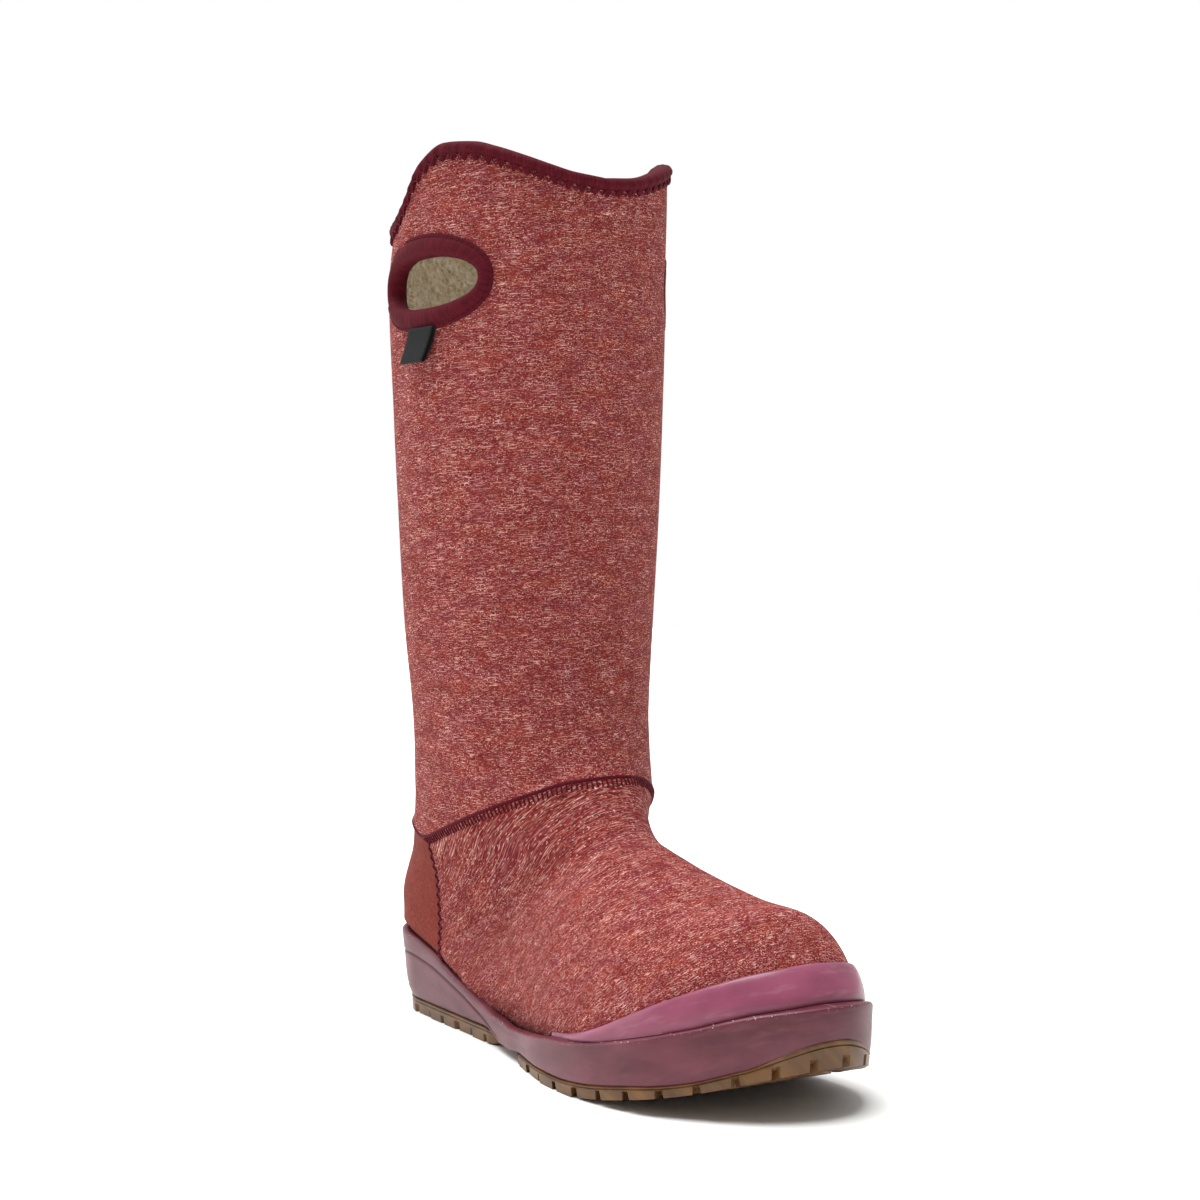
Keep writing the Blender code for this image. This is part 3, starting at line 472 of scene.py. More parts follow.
    def plan_point(self, turn: Array, inset: Array) -> Array:
        """Points of the sole's outline, drawn in by inset, at turns round it."""
        origin, direction = self.plan_ray(turn, 0.0 * turn)
        return self.seek(lambda p: self.plan_ratio(p[..., 0], p[..., 1], inset) - 1,
                         origin, direction)

    def wall_point(self, turn: Array, z: Array) -> Array:
        """Points of the upper's skin above the sole's edge, at turns and heights."""
        return self.seek(self.form, *self.plan_ray(turn, z))

    def side_point(self, x: Array, z: Array, side: Side) -> Array:
        """Points of the shaft's skin at places of the side view."""
        origin = np.stack([x, 0 * x, z], -1)
        return self.seek(self.form, origin, np.array([0.0, side.value, 0.0]))


FORM = BootForm()


def grid_faces(rows: int, columns: int, wrap_rows: bool = False,
               wrap_columns: bool = False) -> tuple[Array, Array]:
    """Quads of a grid of points.

    Args:
        rows: Number of rows.
        columns: Number of points in a row.
        wrap_rows: Whether the last row joins the first.
        wrap_columns: Whether each row is a closed ring.

    Returns:
        Corner numbers, and each corner's row and column before wrapping.
    """
    row, place = np.meshgrid(np.arange(rows - (not wrap_rows)),
                             np.arange(columns - (not wrap_columns)),
                             indexing="ij")
    row, place = row.ravel(), place.ravel()
    corner_row = np.stack([row, row, row + 1, row + 1], -1)
    corner_place = np.stack([place, place + 1, place + 1, place], -1)
    index = (corner_row % rows) * columns + corner_place % columns
    return index, np.stack([corner_row, corner_place], -1)


def strip_faces(start: int, count: int) -> list[tuple[int, ...]]:
    """Close a ring with cross strips between its two sides. The ring starts at the back."""
    faces = []
    for i in range(count // 2):
        corners = [i, i + 1, (count - i - 1) % count, (count - i) % count]
        faces.append(tuple(start + p for n, p in enumerate(corners) if p not in corners[:n]))
    return faces


def walked(points: Array, closed: bool = False) -> Array:
    """Length walked along points, with the way back to the first where they are closed."""
    if closed:
        points = np.concatenate([points, points[:1]])
    return np.concatenate([[0.0], np.cumsum(np.linalg.norm(np.diff(points, axis=0), axis=1))])


def make_piece(name: str, points: Array, faces: Sequence[Sequence[int]],
               materials: Sequence[bpy.types.Material], uv: Optional[Array] = None,
               finish_of_face: Optional[Array] = None, turn_out: bool = True,
               sharp: Optional[float] = None) -> bpy.types.Object:
    """One mesh object at the origin, smooth shaded.

    Args:
        name: Name of the piece.
        points: Corners, from the back of the sole.
        faces: Corner numbers of each face.
        materials: Finishes in the order of their slots.
        uv: Place on the material in millimetres for each corner of each face.
        finish_of_face: Number of each face's finish.
        turn_out: Whether to turn the faces of a closed body outwards.
        sharp: Angle in degrees past which an edge stays sharp.

    Returns:
        The new object.
    """
    mesh = bpy.data.meshes.new(name)
    mesh.from_pydata(FORM.world(np.asarray(points).reshape(-1, 3)).tolist(), [],
                     [tuple(map(int, f)) for f in faces])
    if uv is not None:
        layer = mesh.uv_layers.new(name="Cloth")
        layer.data.foreach_set("uv", np.asarray(uv, float).ravel())
    if turn_out:
        shell = bmesh.new()
        shell.from_mesh(mesh)
        bmesh.ops.recalc_face_normals(shell, faces=shell.faces)
        shell.to_mesh(mesh)
        shell.free()
    for material in materials:
        mesh.materials.append(material)
    if finish_of_face is not None:
        mesh.polygons.foreach_set("material_index", np.asarray(finish_of_face, np.int32))
    mesh.shade_smooth()
    if sharp is not None:
        mesh.set_sharp_from_angle(angle=math.radians(sharp))
    mesh.update()
    piece = bpy.data.objects.new(name, mesh)
    bpy.context.collection.objects.link(piece)
    return piece


def add_modifier(piece: bpy.types.Object, kind: str, **settings: Setting) -> bpy.types.Modifier:
    """Add a modifier with its settings."""
    modifier = piece.modifiers.new(kind.lower(), kind)
    for key, value in settings.items():
        setattr(modifier, key, value)
    return modifier


def declare(piece: bpy.types.Object, slot: str, *nodes: str) -> bpy.types.Object:
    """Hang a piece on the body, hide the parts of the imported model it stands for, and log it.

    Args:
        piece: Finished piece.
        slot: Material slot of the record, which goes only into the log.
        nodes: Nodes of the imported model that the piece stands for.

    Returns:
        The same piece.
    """
    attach(piece, BODY)
    if nodes:
        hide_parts(*nodes)
    LOG.info("%s: %d faces, slot %s, for %s", piece.name, len(piece.data.polygons), slot,
             ", ".join(nodes) or "no node")
    return piece


class Surface:
    """A material while its nodes are put together."""

    def __init__(self, name: str, on_cloth: bool) -> None:
        """Start a material.

        Args:
            name: Name of the material.
            on_cloth: Whether patterns follow the piece's own map in millimetres, or object space.
        """
        self.material = bpy.data.materials.new(name)
        self.material.use_nodes = True
        self.tree = self.material.node_tree
        self.tree.nodes.clear()
        if on_cloth:
            self.place = add_node(self.tree, "ShaderNodeUVMap", {"uv_map": "Cloth"}).outputs["UV"]
        else:
            coords = add_node(self.tree, "ShaderNodeTexCoord").outputs["Object"]
            self.place = add_node(self.tree, "ShaderNodeMapping", {"Scale": (1 / MM,) * 3},
                                  {"Vector": coords}).outputs["Vector"]

    def noise(self, size: tuple[float, float, float], low: float, high: float, detail: float = 2.0,
              shift: float = 0.0, turned: float = 0.0) -> bpy.types.NodeSocket:
        """Soft mask from noise.

        Args:
            size: Size of a spot along each axis in millimetres.
            low: Noise value that gives 0.
            high: Noise value that gives 1.
            detail: Octaves.
            shift: Where in the noise the mask is taken from.
            turned: Angle in degrees by which long spots lie askew.

        Returns:
            Socket of the mask.
        """
        vector = add_node(self.tree, "ShaderNodeMapping",
                          {"vector_type": "TEXTURE", "Scale": size,
                            "Location": (shift, shift, shift),
                           "Rotation": (0.0, 0.0, math.radians(turned))},
                          {"Vector": self.place}).outputs["Vector"]
        value = add_node(self.tree, "ShaderNodeTexNoise", {"Scale": 1.0, "Detail": detail},
                         {"Vector": vector}).outputs[0]
        return add_node(self.tree, "ShaderNodeMapRange", {"From Min": low, "From Max": high},
                        {"Value": value}).outputs[0]

    def mix(self, share: Union[bpy.types.NodeSocket, float],
            first: Union[bpy.types.NodeSocket, str],
            second: Union[bpy.types.NodeSocket, str]) -> bpy.types.NodeSocket:
        """Colour between two, each a hex value or a socket."""
        settings: dict = {"data_type": "RGBA"}
        links: dict = {}
        for key, value in ((0, share), (6, first), (7, second)):
            if isinstance(value, bpy.types.NodeSocket):
                links[key] = value
            else:
                settings[key] = linear(value) if isinstance(value, str) else value
        return add_node(self.tree, "ShaderNodeMix", settings, links).outputs[2]

    def math(self, operation: str, first: Union[bpy.types.NodeSocket, float],
             second: Union[bpy.types.NodeSocket, float]) -> bpy.types.NodeSocket:
        """Result of a sum on two values."""
        settings: dict = {"operation": operation}
        links: dict = {}
        for key, value in ((0, first), (1, second)):
            (links if isinstance(value, bpy.types.NodeSocket) else settings)[key] = value
        return add_node(self.tree, "ShaderNodeMath", settings, links).outputs[0]

    def bump(self, height: bpy.types.NodeSocket, distance: float,
             below: Optional[bpy.types.NodeSocket] = None) -> bpy.types.NodeSocket:
        """Normal raised by a height, with distance in millimetres, over another bump."""
        links = {"Height": height}
        if below is not None:
            links["Normal"] = below
        return add_node(self.tree, "ShaderNodeBump", {"Distance": distance * MM, "Strength": 1.0},
                        links).outputs["Normal"]

    def finish(self, settings: dict, links: dict) -> bpy.types.Material:
        """Close the material with a Principled shader."""
        shader = add_node(self.tree, "ShaderNodeBsdfPrincipled", settings, links)
        add_node(self.tree, "ShaderNodeOutputMaterial", {}, {"Surface": shader.outputs[0]})
        return self.material


class Fibres(NamedTuple):
    """One kind of pale fibre in the knit: size, share of the cloth it covers, strength and lie."""

    length: float
    width: float
    low: float
    strength: float
    turned: float
    colour: str


@dataclass(frozen=True)
class HeatherKnit:
    """Heathered jersey bonded to foam. Pale fibres cross a deep red ground as thin flecks."""

    name: str = "heathered_jersey"
    dark: str = "#400A10"
    base: str = "#822727"
    cool: str = "#742A3B"
    warm: str = "#8A321C"
    roughness: float = 0.88
    fibres: tuple[Fibres, ...] = (
        Fibres(1.0, 0.50, 0.53, 0.55, 0.0, "#B55A50"),
        Fibres(2.6, 0.40, 0.60, 0.66, -14.0, "#CB8278"),
        Fibres(2.4, 0.40, 0.60, 0.66, 16.0, "#D08D82"),
        Fibres(5.0, 0.45, 0.645, 0.90, 2.0, "#E6B4AA"),
        Fibres(0.7, 0.55, 0.645, 0.90, 0.0, "#F2CDC2"),
    )

    def build(self) -> bpy.types.Material:
        """Make the material."""
        cloth = Surface(self.name, on_cloth=True)
        shade = cloth.noise((1.5, 0.6, 1), 0.32, 0.68, 3.0)
        cool = cloth.noise((20, 9, 1), 0.42, 0.72, 2.0, 50.0)
        warm = cloth.noise((14, 7, 1), 0.45, 0.75, 2.0, 90.0)
        colour = cloth.mix(shade, self.dark, self.base)
        colour = cloth.mix(cloth.math("MULTIPLY", cool, 0.45), colour, self.cool)
        colour = cloth.mix(cloth.math("MULTIPLY", warm, 0.45), colour, self.warm)
        patches = cloth.noise((13, 5, 1), 0.36, 0.66, 3.0, 130.0)
        amount = cloth.math("ADD", cloth.math("MULTIPLY", patches, 0.6), 0.35)
        height = shade
        for number, kind in enumerate(self.fibres):
            mask = cloth.noise((kind.length, kind.width, 1), kind.low, kind.low + 0.13, 0.0,
                               170.0 + 40.0 * number, kind.turned)
            mask = cloth.math("MULTIPLY", mask, amount)
            colour = cloth.mix(cloth.math("MULTIPLY", mask, kind.strength), colour, kind.colour)
            height = cloth.math("ADD", height, cloth.math("MULTIPLY", mask, kind.strength))
        nap = cloth.noise((0.45, 0.35, 1), 0.2, 0.8, 2.0, 31.0)
        normal = cloth.bump(height, 0.12, cloth.bump(nap, 0.10))
        return cloth.finish({"Roughness": self.roughness, "Specular IOR Level": 0.08,
                             "Sheen Weight": 0.02, "Sheen Roughness": 0.45,
                             "Sheen Tint": linear("#E0A9A2")},
                            {"Base Color": colour, "Normal": normal})


@dataclass(frozen=True)
class Felt:
    """Needled felt or brushed cloth. Its fibres have no direction and scatter light softly."""

    name: str
    dark: str
    base: str
    grain: float = 0.5
    rise: float = 0.12
    sheen: float = 0.2

    def build(self) -> bpy.types.Material:
        """Make the material."""
        cloth = Surface(self.name, on_cloth=False)
        # The dark spots are random tone on the heel cloth and footbed, and painted shade between
        # the curls on the fleece.
        shade = cloth.noise((self.grain * 1.6,) * 3, 0.25, 0.75, 3.0)
        broad = cloth.noise((9.0,) * 3, 0.3, 0.7, 2.0, 7.0)
        colour = cloth.mix(shade, self.dark, self.base)
        colour = cloth.mix(cloth.math("MULTIPLY", broad, 0.3), colour, self.base)
        fibres = cloth.noise((self.grain,) * 3, 0.2, 0.8, 3.0, 13.0)
        return cloth.finish({"Roughness": 0.92, "Specular IOR Level": 0.1,
                             "Sheen Weight": self.sheen,
                             "Sheen Roughness": 0.5},
                            {"Base Color": colour, "Normal": cloth.bump(fibres, self.rise)})


@dataclass(frozen=True)
class BindingKnit:
    """Elastic knitted tape, folded over an edge. Fine ribs across it catch a dull light."""

    name: str = "elastic_knit_tape"
    dark: str = "#2C050C"
    base: str = "#641222"
    rib: float = 0.9

    def build(self) -> bpy.types.Material:
        """Make the material. The ribs are drawn at twice their real spacing, so that they show."""
        cloth = Surface(self.name, on_cloth=True)
        ribs = cloth.noise((self.rib, 7.0, 1), 0.3, 0.7, 1.0)
        fuzz = cloth.noise((0.5, 0.5, 1), 0.25, 0.75, 3.0, 9.0)
        shade = cloth.math("MULTIPLY", cloth.math("ADD", ribs, fuzz), 0.5)
        colour = cloth.mix(shade, self.dark, self.base)
        normal = cloth.bump(ribs, 0.10, cloth.bump(fuzz, 0.06))
        return cloth.finish({"Roughness": 0.74, "Specular IOR Level": 0.1, "Sheen Weight": 0.02,
                             "Sheen Roughness": 0.4, "Sheen Tint": linear("#A8645C")},
                            {"Base Color": colour, "Normal": normal})


@dataclass(frozen=True)
class WovenTape:
    """Plain woven polyester tape. Its tight cross weave shows as small even knots."""

    name: str = "woven_polyester_tape"
    dark: str = "#030405"
    base: str = "#0E1112"
    thread: float = 0.55

    def build(self) -> bpy.types.Material:
        """Make the material."""
        cloth = Surface(self.name, on_cloth=True)
        weave = []
        for turned in (0.0, math.pi / 2):
            vector = add_node(cloth.tree, "ShaderNodeMapping", {"Rotation": (0.0, 0.0, turned)},
                              {"Vector": cloth.place}).outputs["Vector"]
            weave.append(add_node(cloth.tree, "ShaderNodeTexWave",
                                  {"Scale": 0.314 / self.thread, "Distortion": 0.6, "Detail": 1.0},
                                  {"Vector": vector}).outputs["Fac"])
        knots = cloth.math("MULTIPLY", *weave)
        colour = cloth.mix(knots, self.dark, self.base)
        return cloth.finish({"Roughness": 0.7, "Specular IOR Level": 0.25, "Sheen Weight": 0.0},
                            {"Base Color": colour, "Normal": cloth.bump(knots, 0.15)})


@dataclass(frozen=True)
class MouldedRubber:
    """Moulded rubber. Fine pitting from the mould dulls it, and handling leaves pale smears."""

    name: str
    dark: str
    base: str
    roughness: float
    smear: str = "#B08A90"
    smear_share: float = 0.25
    specks: float = 0.0
    pitting: float = 0.03

    def build(self) -> bpy.types.Material:
        """Make the material. The map's V is the distance below the piece's top edge."""
        rubber = Surface(self.name, on_cloth=True)
        broad = rubber.noise((22, 9, 1), 0.3, 0.7, 3.0)
        smears = rubber.noise((14, 3.2, 1), 0.56, 0.78, 4.0, 17.0)
        pits = rubber.noise((0.5, 0.5, 1), 0.2, 0.8, 3.0, 3.0)
        colour = rubber.mix(broad, self.dark, self.base)
        colour = rubber.mix(rubber.math("MULTIPLY", smears, self.smear_share), colour, self.smear)
        if self.specks > 0:
            spots = rubber.noise((1.1, 0.8, 1), 0.66, 0.72, 2.0, 41.0)
            below = add_node(rubber.tree, "ShaderNodeSeparateXYZ", {}, {0: rubber.place}).outputs[1]
            near = add_node(rubber.tree, "ShaderNodeMapRange", {"From Min": 1.6, "From Max": 0.3},
                            {"Value": below}).outputs[0]
            spots = rubber.math("MULTIPLY", rubber.math("MULTIPLY", spots, near), self.specks)
            colour = rubber.mix(spots, colour, "#E4DAD6")
        rough = add_node(rubber.tree, "ShaderNodeMapRange",
                         {"To Min": self.roughness - 0.07, "To Max": self.roughness + 0.09},
                         {"Value": smears}).outputs[0]
        return rubber.finish({"IOR": 1.5, "Specular IOR Level": 0.35},
                             {"Base Color": colour, "Roughness": rough,
                              "Normal": rubber.bump(pits, self.pitting, rubber.bump(broad, 0.10))})


@dataclass(frozen=True)
class SewingThread:
    """Spun polyester thread. Its twist breaks the light along it."""

    name: str = "polyester_thread"
    dark: str = "#360710"
    base: str = "#6C1524"

    def build(self) -> bpy.types.Material:
        """Make the material."""
        thread = Surface(self.name, on_cloth=False)
        twist = thread.noise((0.35,) * 3, 0.3, 0.7, 1.0)
        return thread.finish({"Roughness": 0.65, "Specular IOR Level": 0.1,
                              "Sheen Weight": 0.02, "Sheen Roughness": 0.4},
                             {"Base Color": thread.mix(twist, self.dark, self.base),
                              "Normal": thread.bump(twist, 0.1)})


@dataclass(frozen=True)
class Finishes:
    """All the finishes of the boot, made once."""

    knit: bpy.types.Material = field(default_factory=lambda: HeatherKnit().build())
    heel: bpy.types.Material = field(default_factory=lambda: Felt(
        "brushed_heel_cloth", "#541914", "#84392E", 0.7, 0.16, 0.03).build())
    # Fleece: its dark is painted shade between the curls, and its near-white base is painted light
    # that lifts the dim inside of the shaft above the lining's own beige.
    fleece: bpy.types.Material = field(default_factory=lambda: Felt(
        "wool_blend_fleece", "#CDB27E", "#FFFAEC", 1.7, 1.0, 0.2).build())
    footbed: bpy.types.Material = field(default_factory=lambda: Felt(
        "needled_footbed_felt", "#8C8068", "#B4A88F", 0.7, 0.25, 0.3).build())
    binding: bpy.types.Material = field(default_factory=lambda: BindingKnit().build())
    tape: bpy.types.Material = field(default_factory=lambda: WovenTape().build())
    thread: bpy.types.Material = field(default_factory=lambda: SewingThread().build())
    bumper: bpy.types.Material = field(default_factory=lambda: MouldedRubber(
        "satin_moulded_rubber", "#763A4E", "#8F4A62", 0.38, "#B88C9C", 0.25).build())
    cup: bpy.types.Material = field(default_factory=lambda: MouldedRubber(
        "matt_cup_rubber", "#4C1C26", "#6A313E", 0.48, "#8C6468", 0.2, 0.9).build())
    gum: bpy.types.Material = field(default_factory=lambda: MouldedRubber(
        "natural_gum_rubber", "#4C3018", "#724E28", 0.46, "#8C7448", 0.25).build())


class Crease(NamedTuple):
    """Soft trough or ridge along places of the skin."""

    height: float
    width: float
    places: tuple[tuple[float, float], ...]


CREASES = (
    Crease(0.0011, 0.0050, ((1.97, 0.50), (1.90, 0.49), (1.82, 0.475))),
    Crease(-0.0008, 0.0060, ((1.96, 0.55), (1.90, 0.535), (1.80, 0.56))),
    Crease(-0.0012, 0.0080, ((1.73, 0.46), (1.64, 0.44), (1.54, 0.43))),
    Crease(0.0009, 0.0090, ((1.72, 0.52), (1.62, 0.56), (1.50, 0.62))),
    Crease(-0.0010, 0.0060, ((0.36, 0.86), (0.39, 0.94), (0.40, 1.02), (0.39, 1.10))),
    Crease(0.0008, 0.0090, ((0.30, 0.86), (0.31, 0.96), (0.31, 1.06))),
    Crease(-0.0009, 0.0100, ((1.10, 0.74), (1.16, 0.86), (1.15, 1.00), (1.10, 1.14))),
    Crease(0.0010, 0.0100, ((1.20, 0.70), (1.25, 0.84), (1.25, 0.98), (1.20, 1.12))),
    Crease(-0.0008, 0.0110, ((0.88, 0.58), (0.74, 0.62), (0.62, 0.72))),
)


@dataclass(frozen=True)
class Handle:
    """Oval pull-on hole and its padded binding."""

    x: float = 0.088
    drop: float = 0.0552
    length: float = 0.058
    height: float = 0.0244
    square: float = 0.88
    band: float = 0.0080
    end_band: float = 0.0048
    points: int = 168
    overlap: tuple[float, float] = (3.55, 4.15)

    def oval(self, grow: Array, angle: Array) -> tuple[Array, Array]:
        """Side view of the hole's edge, grown by lengths."""
        across, up = np.cos(angle), np.sin(angle)
        end_grow = grow * self.end_band / self.band
        x = self.x + (self.length / 2 + end_grow) * np.sign(across) * np.abs(across) ** self.square
        middle = FORM.height - self.drop
        return x, middle + (self.height / 2 + grow) * np.sign(up) * np.abs(up) ** self.square

    def covers(self, point: Array, grow: float) -> Array:
        """Whether points of either side lie inside the grown hole."""
        power = 2 / self.square
        across = np.abs(point[..., 0] - self.x) / (
            self.length / 2 + grow * self.end_band / self.band)
        up = np.abs(point[..., 2] - FORM.height + self.drop) / (self.height / 2 + grow)
        return (across ** power + up ** power < 1) & (np.abs(point[..., 1]) > 0.02)


HANDLE = Handle()


@dataclass
class TextileUpper:
    """Shaft, vamp and heel panel: one padded textile skin with its fleece lining."""

    finishes: Finishes
    columns: int = 240
    seam_height: float = 0.0009
    seam_width: float = 0.0050
    margin: float = 0.009
    heel_seam_column: float = 0.35
    heel_seam_top: float = 0.064
    heel_seam_foot: float = 0.068
    heel_swell: float = 0.0028
    girth: float = 55.0
    lean: float = 45.0
    axis: float = 0.035
    half_girth: float = 190.0
    seam_turns: tuple[Array, Array] = field(init=False)
    crease_lines: list[Array] = field(init=False)

    def __post_init__(self) -> None:
        """Find the heel seam's turn at each level."""
        level = np.linspace(0.0, 1.0, 40)
        turn = np.linspace(0.05, 0.8, 160)
        points = FORM.skin(level[:, None], turn[None, :])
        low = points[..., 2] / 0.081
        wanted = self.heel_seam_foot + (
            self.heel_seam_top - self.heel_seam_foot) * np.clip(low, 0, 1)
        ahead = points[..., 0] - wanted
        self.seam_turns = (level, np.array([np.interp(0.0, row, turn) for row in ahead]))
        self.crease_lines = []
        for crease in CREASES:
            places = np.array(crease.places)
            share, at = np.linspace(0, 1, 14), np.linspace(0, 1, len(places))
            self.crease_lines.append(FORM.skin(np.interp(share, at, places[:, 0]),
                                               np.interp(share, at, places[:, 1])))

    def levels(self) -> Array:
        """Rows of the skin, close together at the ankle seam."""
        return np.concatenate([np.linspace(0.0, 0.90, 66)[:-1], np.linspace(0.90, 1.035, 34)[:-1],
                               np.linspace(1.035, 2.0, 82)])

    def warp(self, level: Array, turn: Array) -> Array:
        """Turns moved so that one column follows the heel seam."""
        half = 1 - np.abs(1 - turn)
        seam = np.interp(level, *self.seam_turns)
        fade = 1 - smooth_step((level - 1) / 0.2)
        seam = self.heel_seam_column + (seam - self.heel_seam_column) * fade
        column_at = self.heel_seam_column
        moved = np.where(half < column_at, half / column_at * seam,
                         seam + (half - column_at) / (1 - column_at) * (1 - seam))
        return np.where(turn <= 1, moved, 2 - moved)

    def surface(self, level: Array, turn: Array) -> Array:
        """Points of the finished outer face."""
        level, turn = np.broadcast_arrays(np.asarray(level, float), np.asarray(turn, float))
        points = FORM.skin(level, turn)
        normals = FORM.outward(points)
        away = (level - 1) * np.where(level > 1, FORM.height - FORM.ankle_height, FORM.seam_back)
        rise = self.seam_height * (1 - smooth_step(np.abs(away) / self.seam_width))
        rise = rise - 0.0004 * np.exp(-((away - 0.0002) / 0.0005) ** 2)
        angle = np.pi * turn
        wave = np.sin(3 * angle + 5.1 * level) * np.sin(7.3 * level + 1.2 * np.sin(2 * angle))
        rise = rise + 0.0004 * wave * np.clip(level * 2, 0, 1)
        over_rim = points[..., 2] - FORM.cup_top(points[..., 0])
        behind = 1 - smooth_step((points[..., 0] - 0.085) / 0.045)
        rise = rise + self.heel_swell * behind * smooth_step(over_rim / 0.004) * (
            1 - smooth_step((over_rim - 0.004) / 0.032))
        for crease, line in zip(CREASES, self.crease_lines):
            rise = rise + self.crease_rise(points, crease, line)
        return points + rise[..., None] * normals

    def crease_rise(self, points: Array, crease: Crease, line: Array) -> Array:
        """How far a crease lifts the points."""
        share = np.linspace(0, 1, len(line))
        away = np.linalg.norm(points[..., None, :] - line, axis=-1)
        nearest = np.min(away, axis=-1)
        along = np.sum(share * np.exp(-(away / crease.width) ** 2), -1)
        along = along / np.maximum(np.sum(np.exp(-(away / crease.width) ** 2), -1), 1e-9)
        taper = np.sin(np.pi * np.clip(along, 0.02, 0.98)) ** 0.6
        return crease.height * np.exp(-(nearest / crease.width) ** 2) * taper

    def cloth_map(self, points: Array, level: Array, turn: Array) -> Array:
        """Place on the knit in millimetres: round the shaft, and in leaning planes on the vamp."""
        on_shaft = np.stack([(turn - 1) * self.half_girth, points[..., 2] / MM], -1)
        x, y, z = points[..., 0], points[..., 1], points[..., 2]
        lean, axis = math.radians(self.lean), self.axis
        along = x * math.cos(lean) - z * math.sin(lean)
        start = (along + axis * math.sin(lean)) / math.cos(lean)
        middle = math.sin(lean) * start + math.cos(lean) * axis
        lift = math.sin(lean) * x + math.cos(lean) * z - middle
        girth = np.arctan2(y, lift) * self.girth
        return np.where((level > 1)[..., None], on_shaft, np.stack([girth, along / MM], -1))

    def build(self) -> bpy.types.Object:
        """Make the upper."""
        rows = self.levels()
        turn = np.arange(self.columns) * 2.0 / self.columns
        moved = self.warp(rows[:, None], turn[None, :])
        points = self.surface(rows[:, None], moved)
        points[0, :, 2] = FORM.tray(points[0, :, 0]) + FORM.gap
        tucks = []
        for inward in (1.0, 0.4):
            edge = FORM.plan_point(turn, FORM.cup_wall + FORM.gap + inward * self.margin + 0 * turn)
            edge[:, 2] = FORM.tray(edge[:, 0]) + FORM.gap
            tucks.append(edge)
        grid = np.concatenate([np.stack(tucks), points])
        level = np.concatenate([[0.0, 0.0], rows])
        faces, corners = grid_faces(len(grid), self.columns, wrap_columns=True)
        wide = np.concatenate([grid, grid[:, :1]], axis=1)
        wide_turn = np.concatenate([np.stack([turn, turn]), moved])
        wide_turn = np.concatenate([wide_turn, np.full((len(grid), 1), 2.0)], axis=1)
        mid_level = level[corners[..., 0]].mean(axis=1)
        corner_points = wide[corners[..., 0], corners[..., 1]]
        corner_turn = wide_turn[corners[..., 0], corners[..., 1]]
        uv = self.cloth_map(corner_points, np.repeat(mid_level[:, None], 4, 1), corner_turn)
        mid_turn = corners[..., 1].mean(axis=1) * 2.0 / self.columns
        half = 1 - np.abs(1 - mid_turn)
        on_heel = (mid_level < 1) & (half < self.heel_seam_column)
        keep = ~HANDLE.covers(corner_points.mean(axis=1), 0.003)
        piece = make_piece("shaft_and_vamp", grid, faces[keep],
                           [self.finishes.knit, self.finishes.heel, self.finishes.fleece],
                           uv[keep], on_heel[keep].astype(int), turn_out=False)
        add_modifier(piece, "SOLIDIFY", thickness=FORM.wall, offset=-1.0, use_even_offset=False,
                     material_offset=2, material_offset_rim=2)
        return declare(piece, "shaft_textile", "upper")


def group_tree(name: str, inputs: Sequence[tuple[str, str, Setting]]) -> bpy.types.NodeTree:
    """Start a geometry node tree with named inputs.

    Args:
        name: Name of the tree.
        inputs: Name, socket type and default of each input.

    Returns:
        The tree, with its geometry input and output.
    """
    tree = bpy.data.node_groups.new(name, "GeometryNodeTree")
    tree.interface.new_socket(name="Geometry", in_out="INPUT", socket_type="NodeSocketGeometry")
    tree.interface.new_socket(name="Geometry", in_out="OUTPUT", socket_type="NodeSocketGeometry")
    for label, kind, value in inputs:
        socket = tree.interface.new_socket(name=label, in_out="INPUT", socket_type=kind)
        if value is not None:
            socket.default_value = value
    return tree


def grow(source: bpy.types.Object, tree: bpy.types.NodeTree, name: str,
         values: dict[str, Setting]) -> bpy.types.Object:
    """Run a geometry node tree on an object and keep the result as a plain mesh.

    Args:
        source: Object that carries the tree's points. It is removed.
        tree: Geometry node tree.
        name: Name of the new piece.
        values: Inputs of the tree by name.

    Returns:
        The new piece.
    """
    modifier = source.modifiers.new("grow", "NODES")
    modifier.node_group = tree
    for item in tree.interface.items_tree:
        if item.item_type == "SOCKET" and item.in_out == "INPUT" and item.name in values:
            modifier[item.identifier] = values[item.name]
    view = bpy.context.evaluated_depsgraph_get()
    mesh = bpy.data.meshes.new_from_object(source.evaluated_get(view), depsgraph=view)
    mesh.name = name
    mesh.shade_smooth()
    bpy.data.objects.remove(source)
    piece = bpy.data.objects.new(name, mesh)
    bpy.context.collection.objects.link(piece)
    return piece


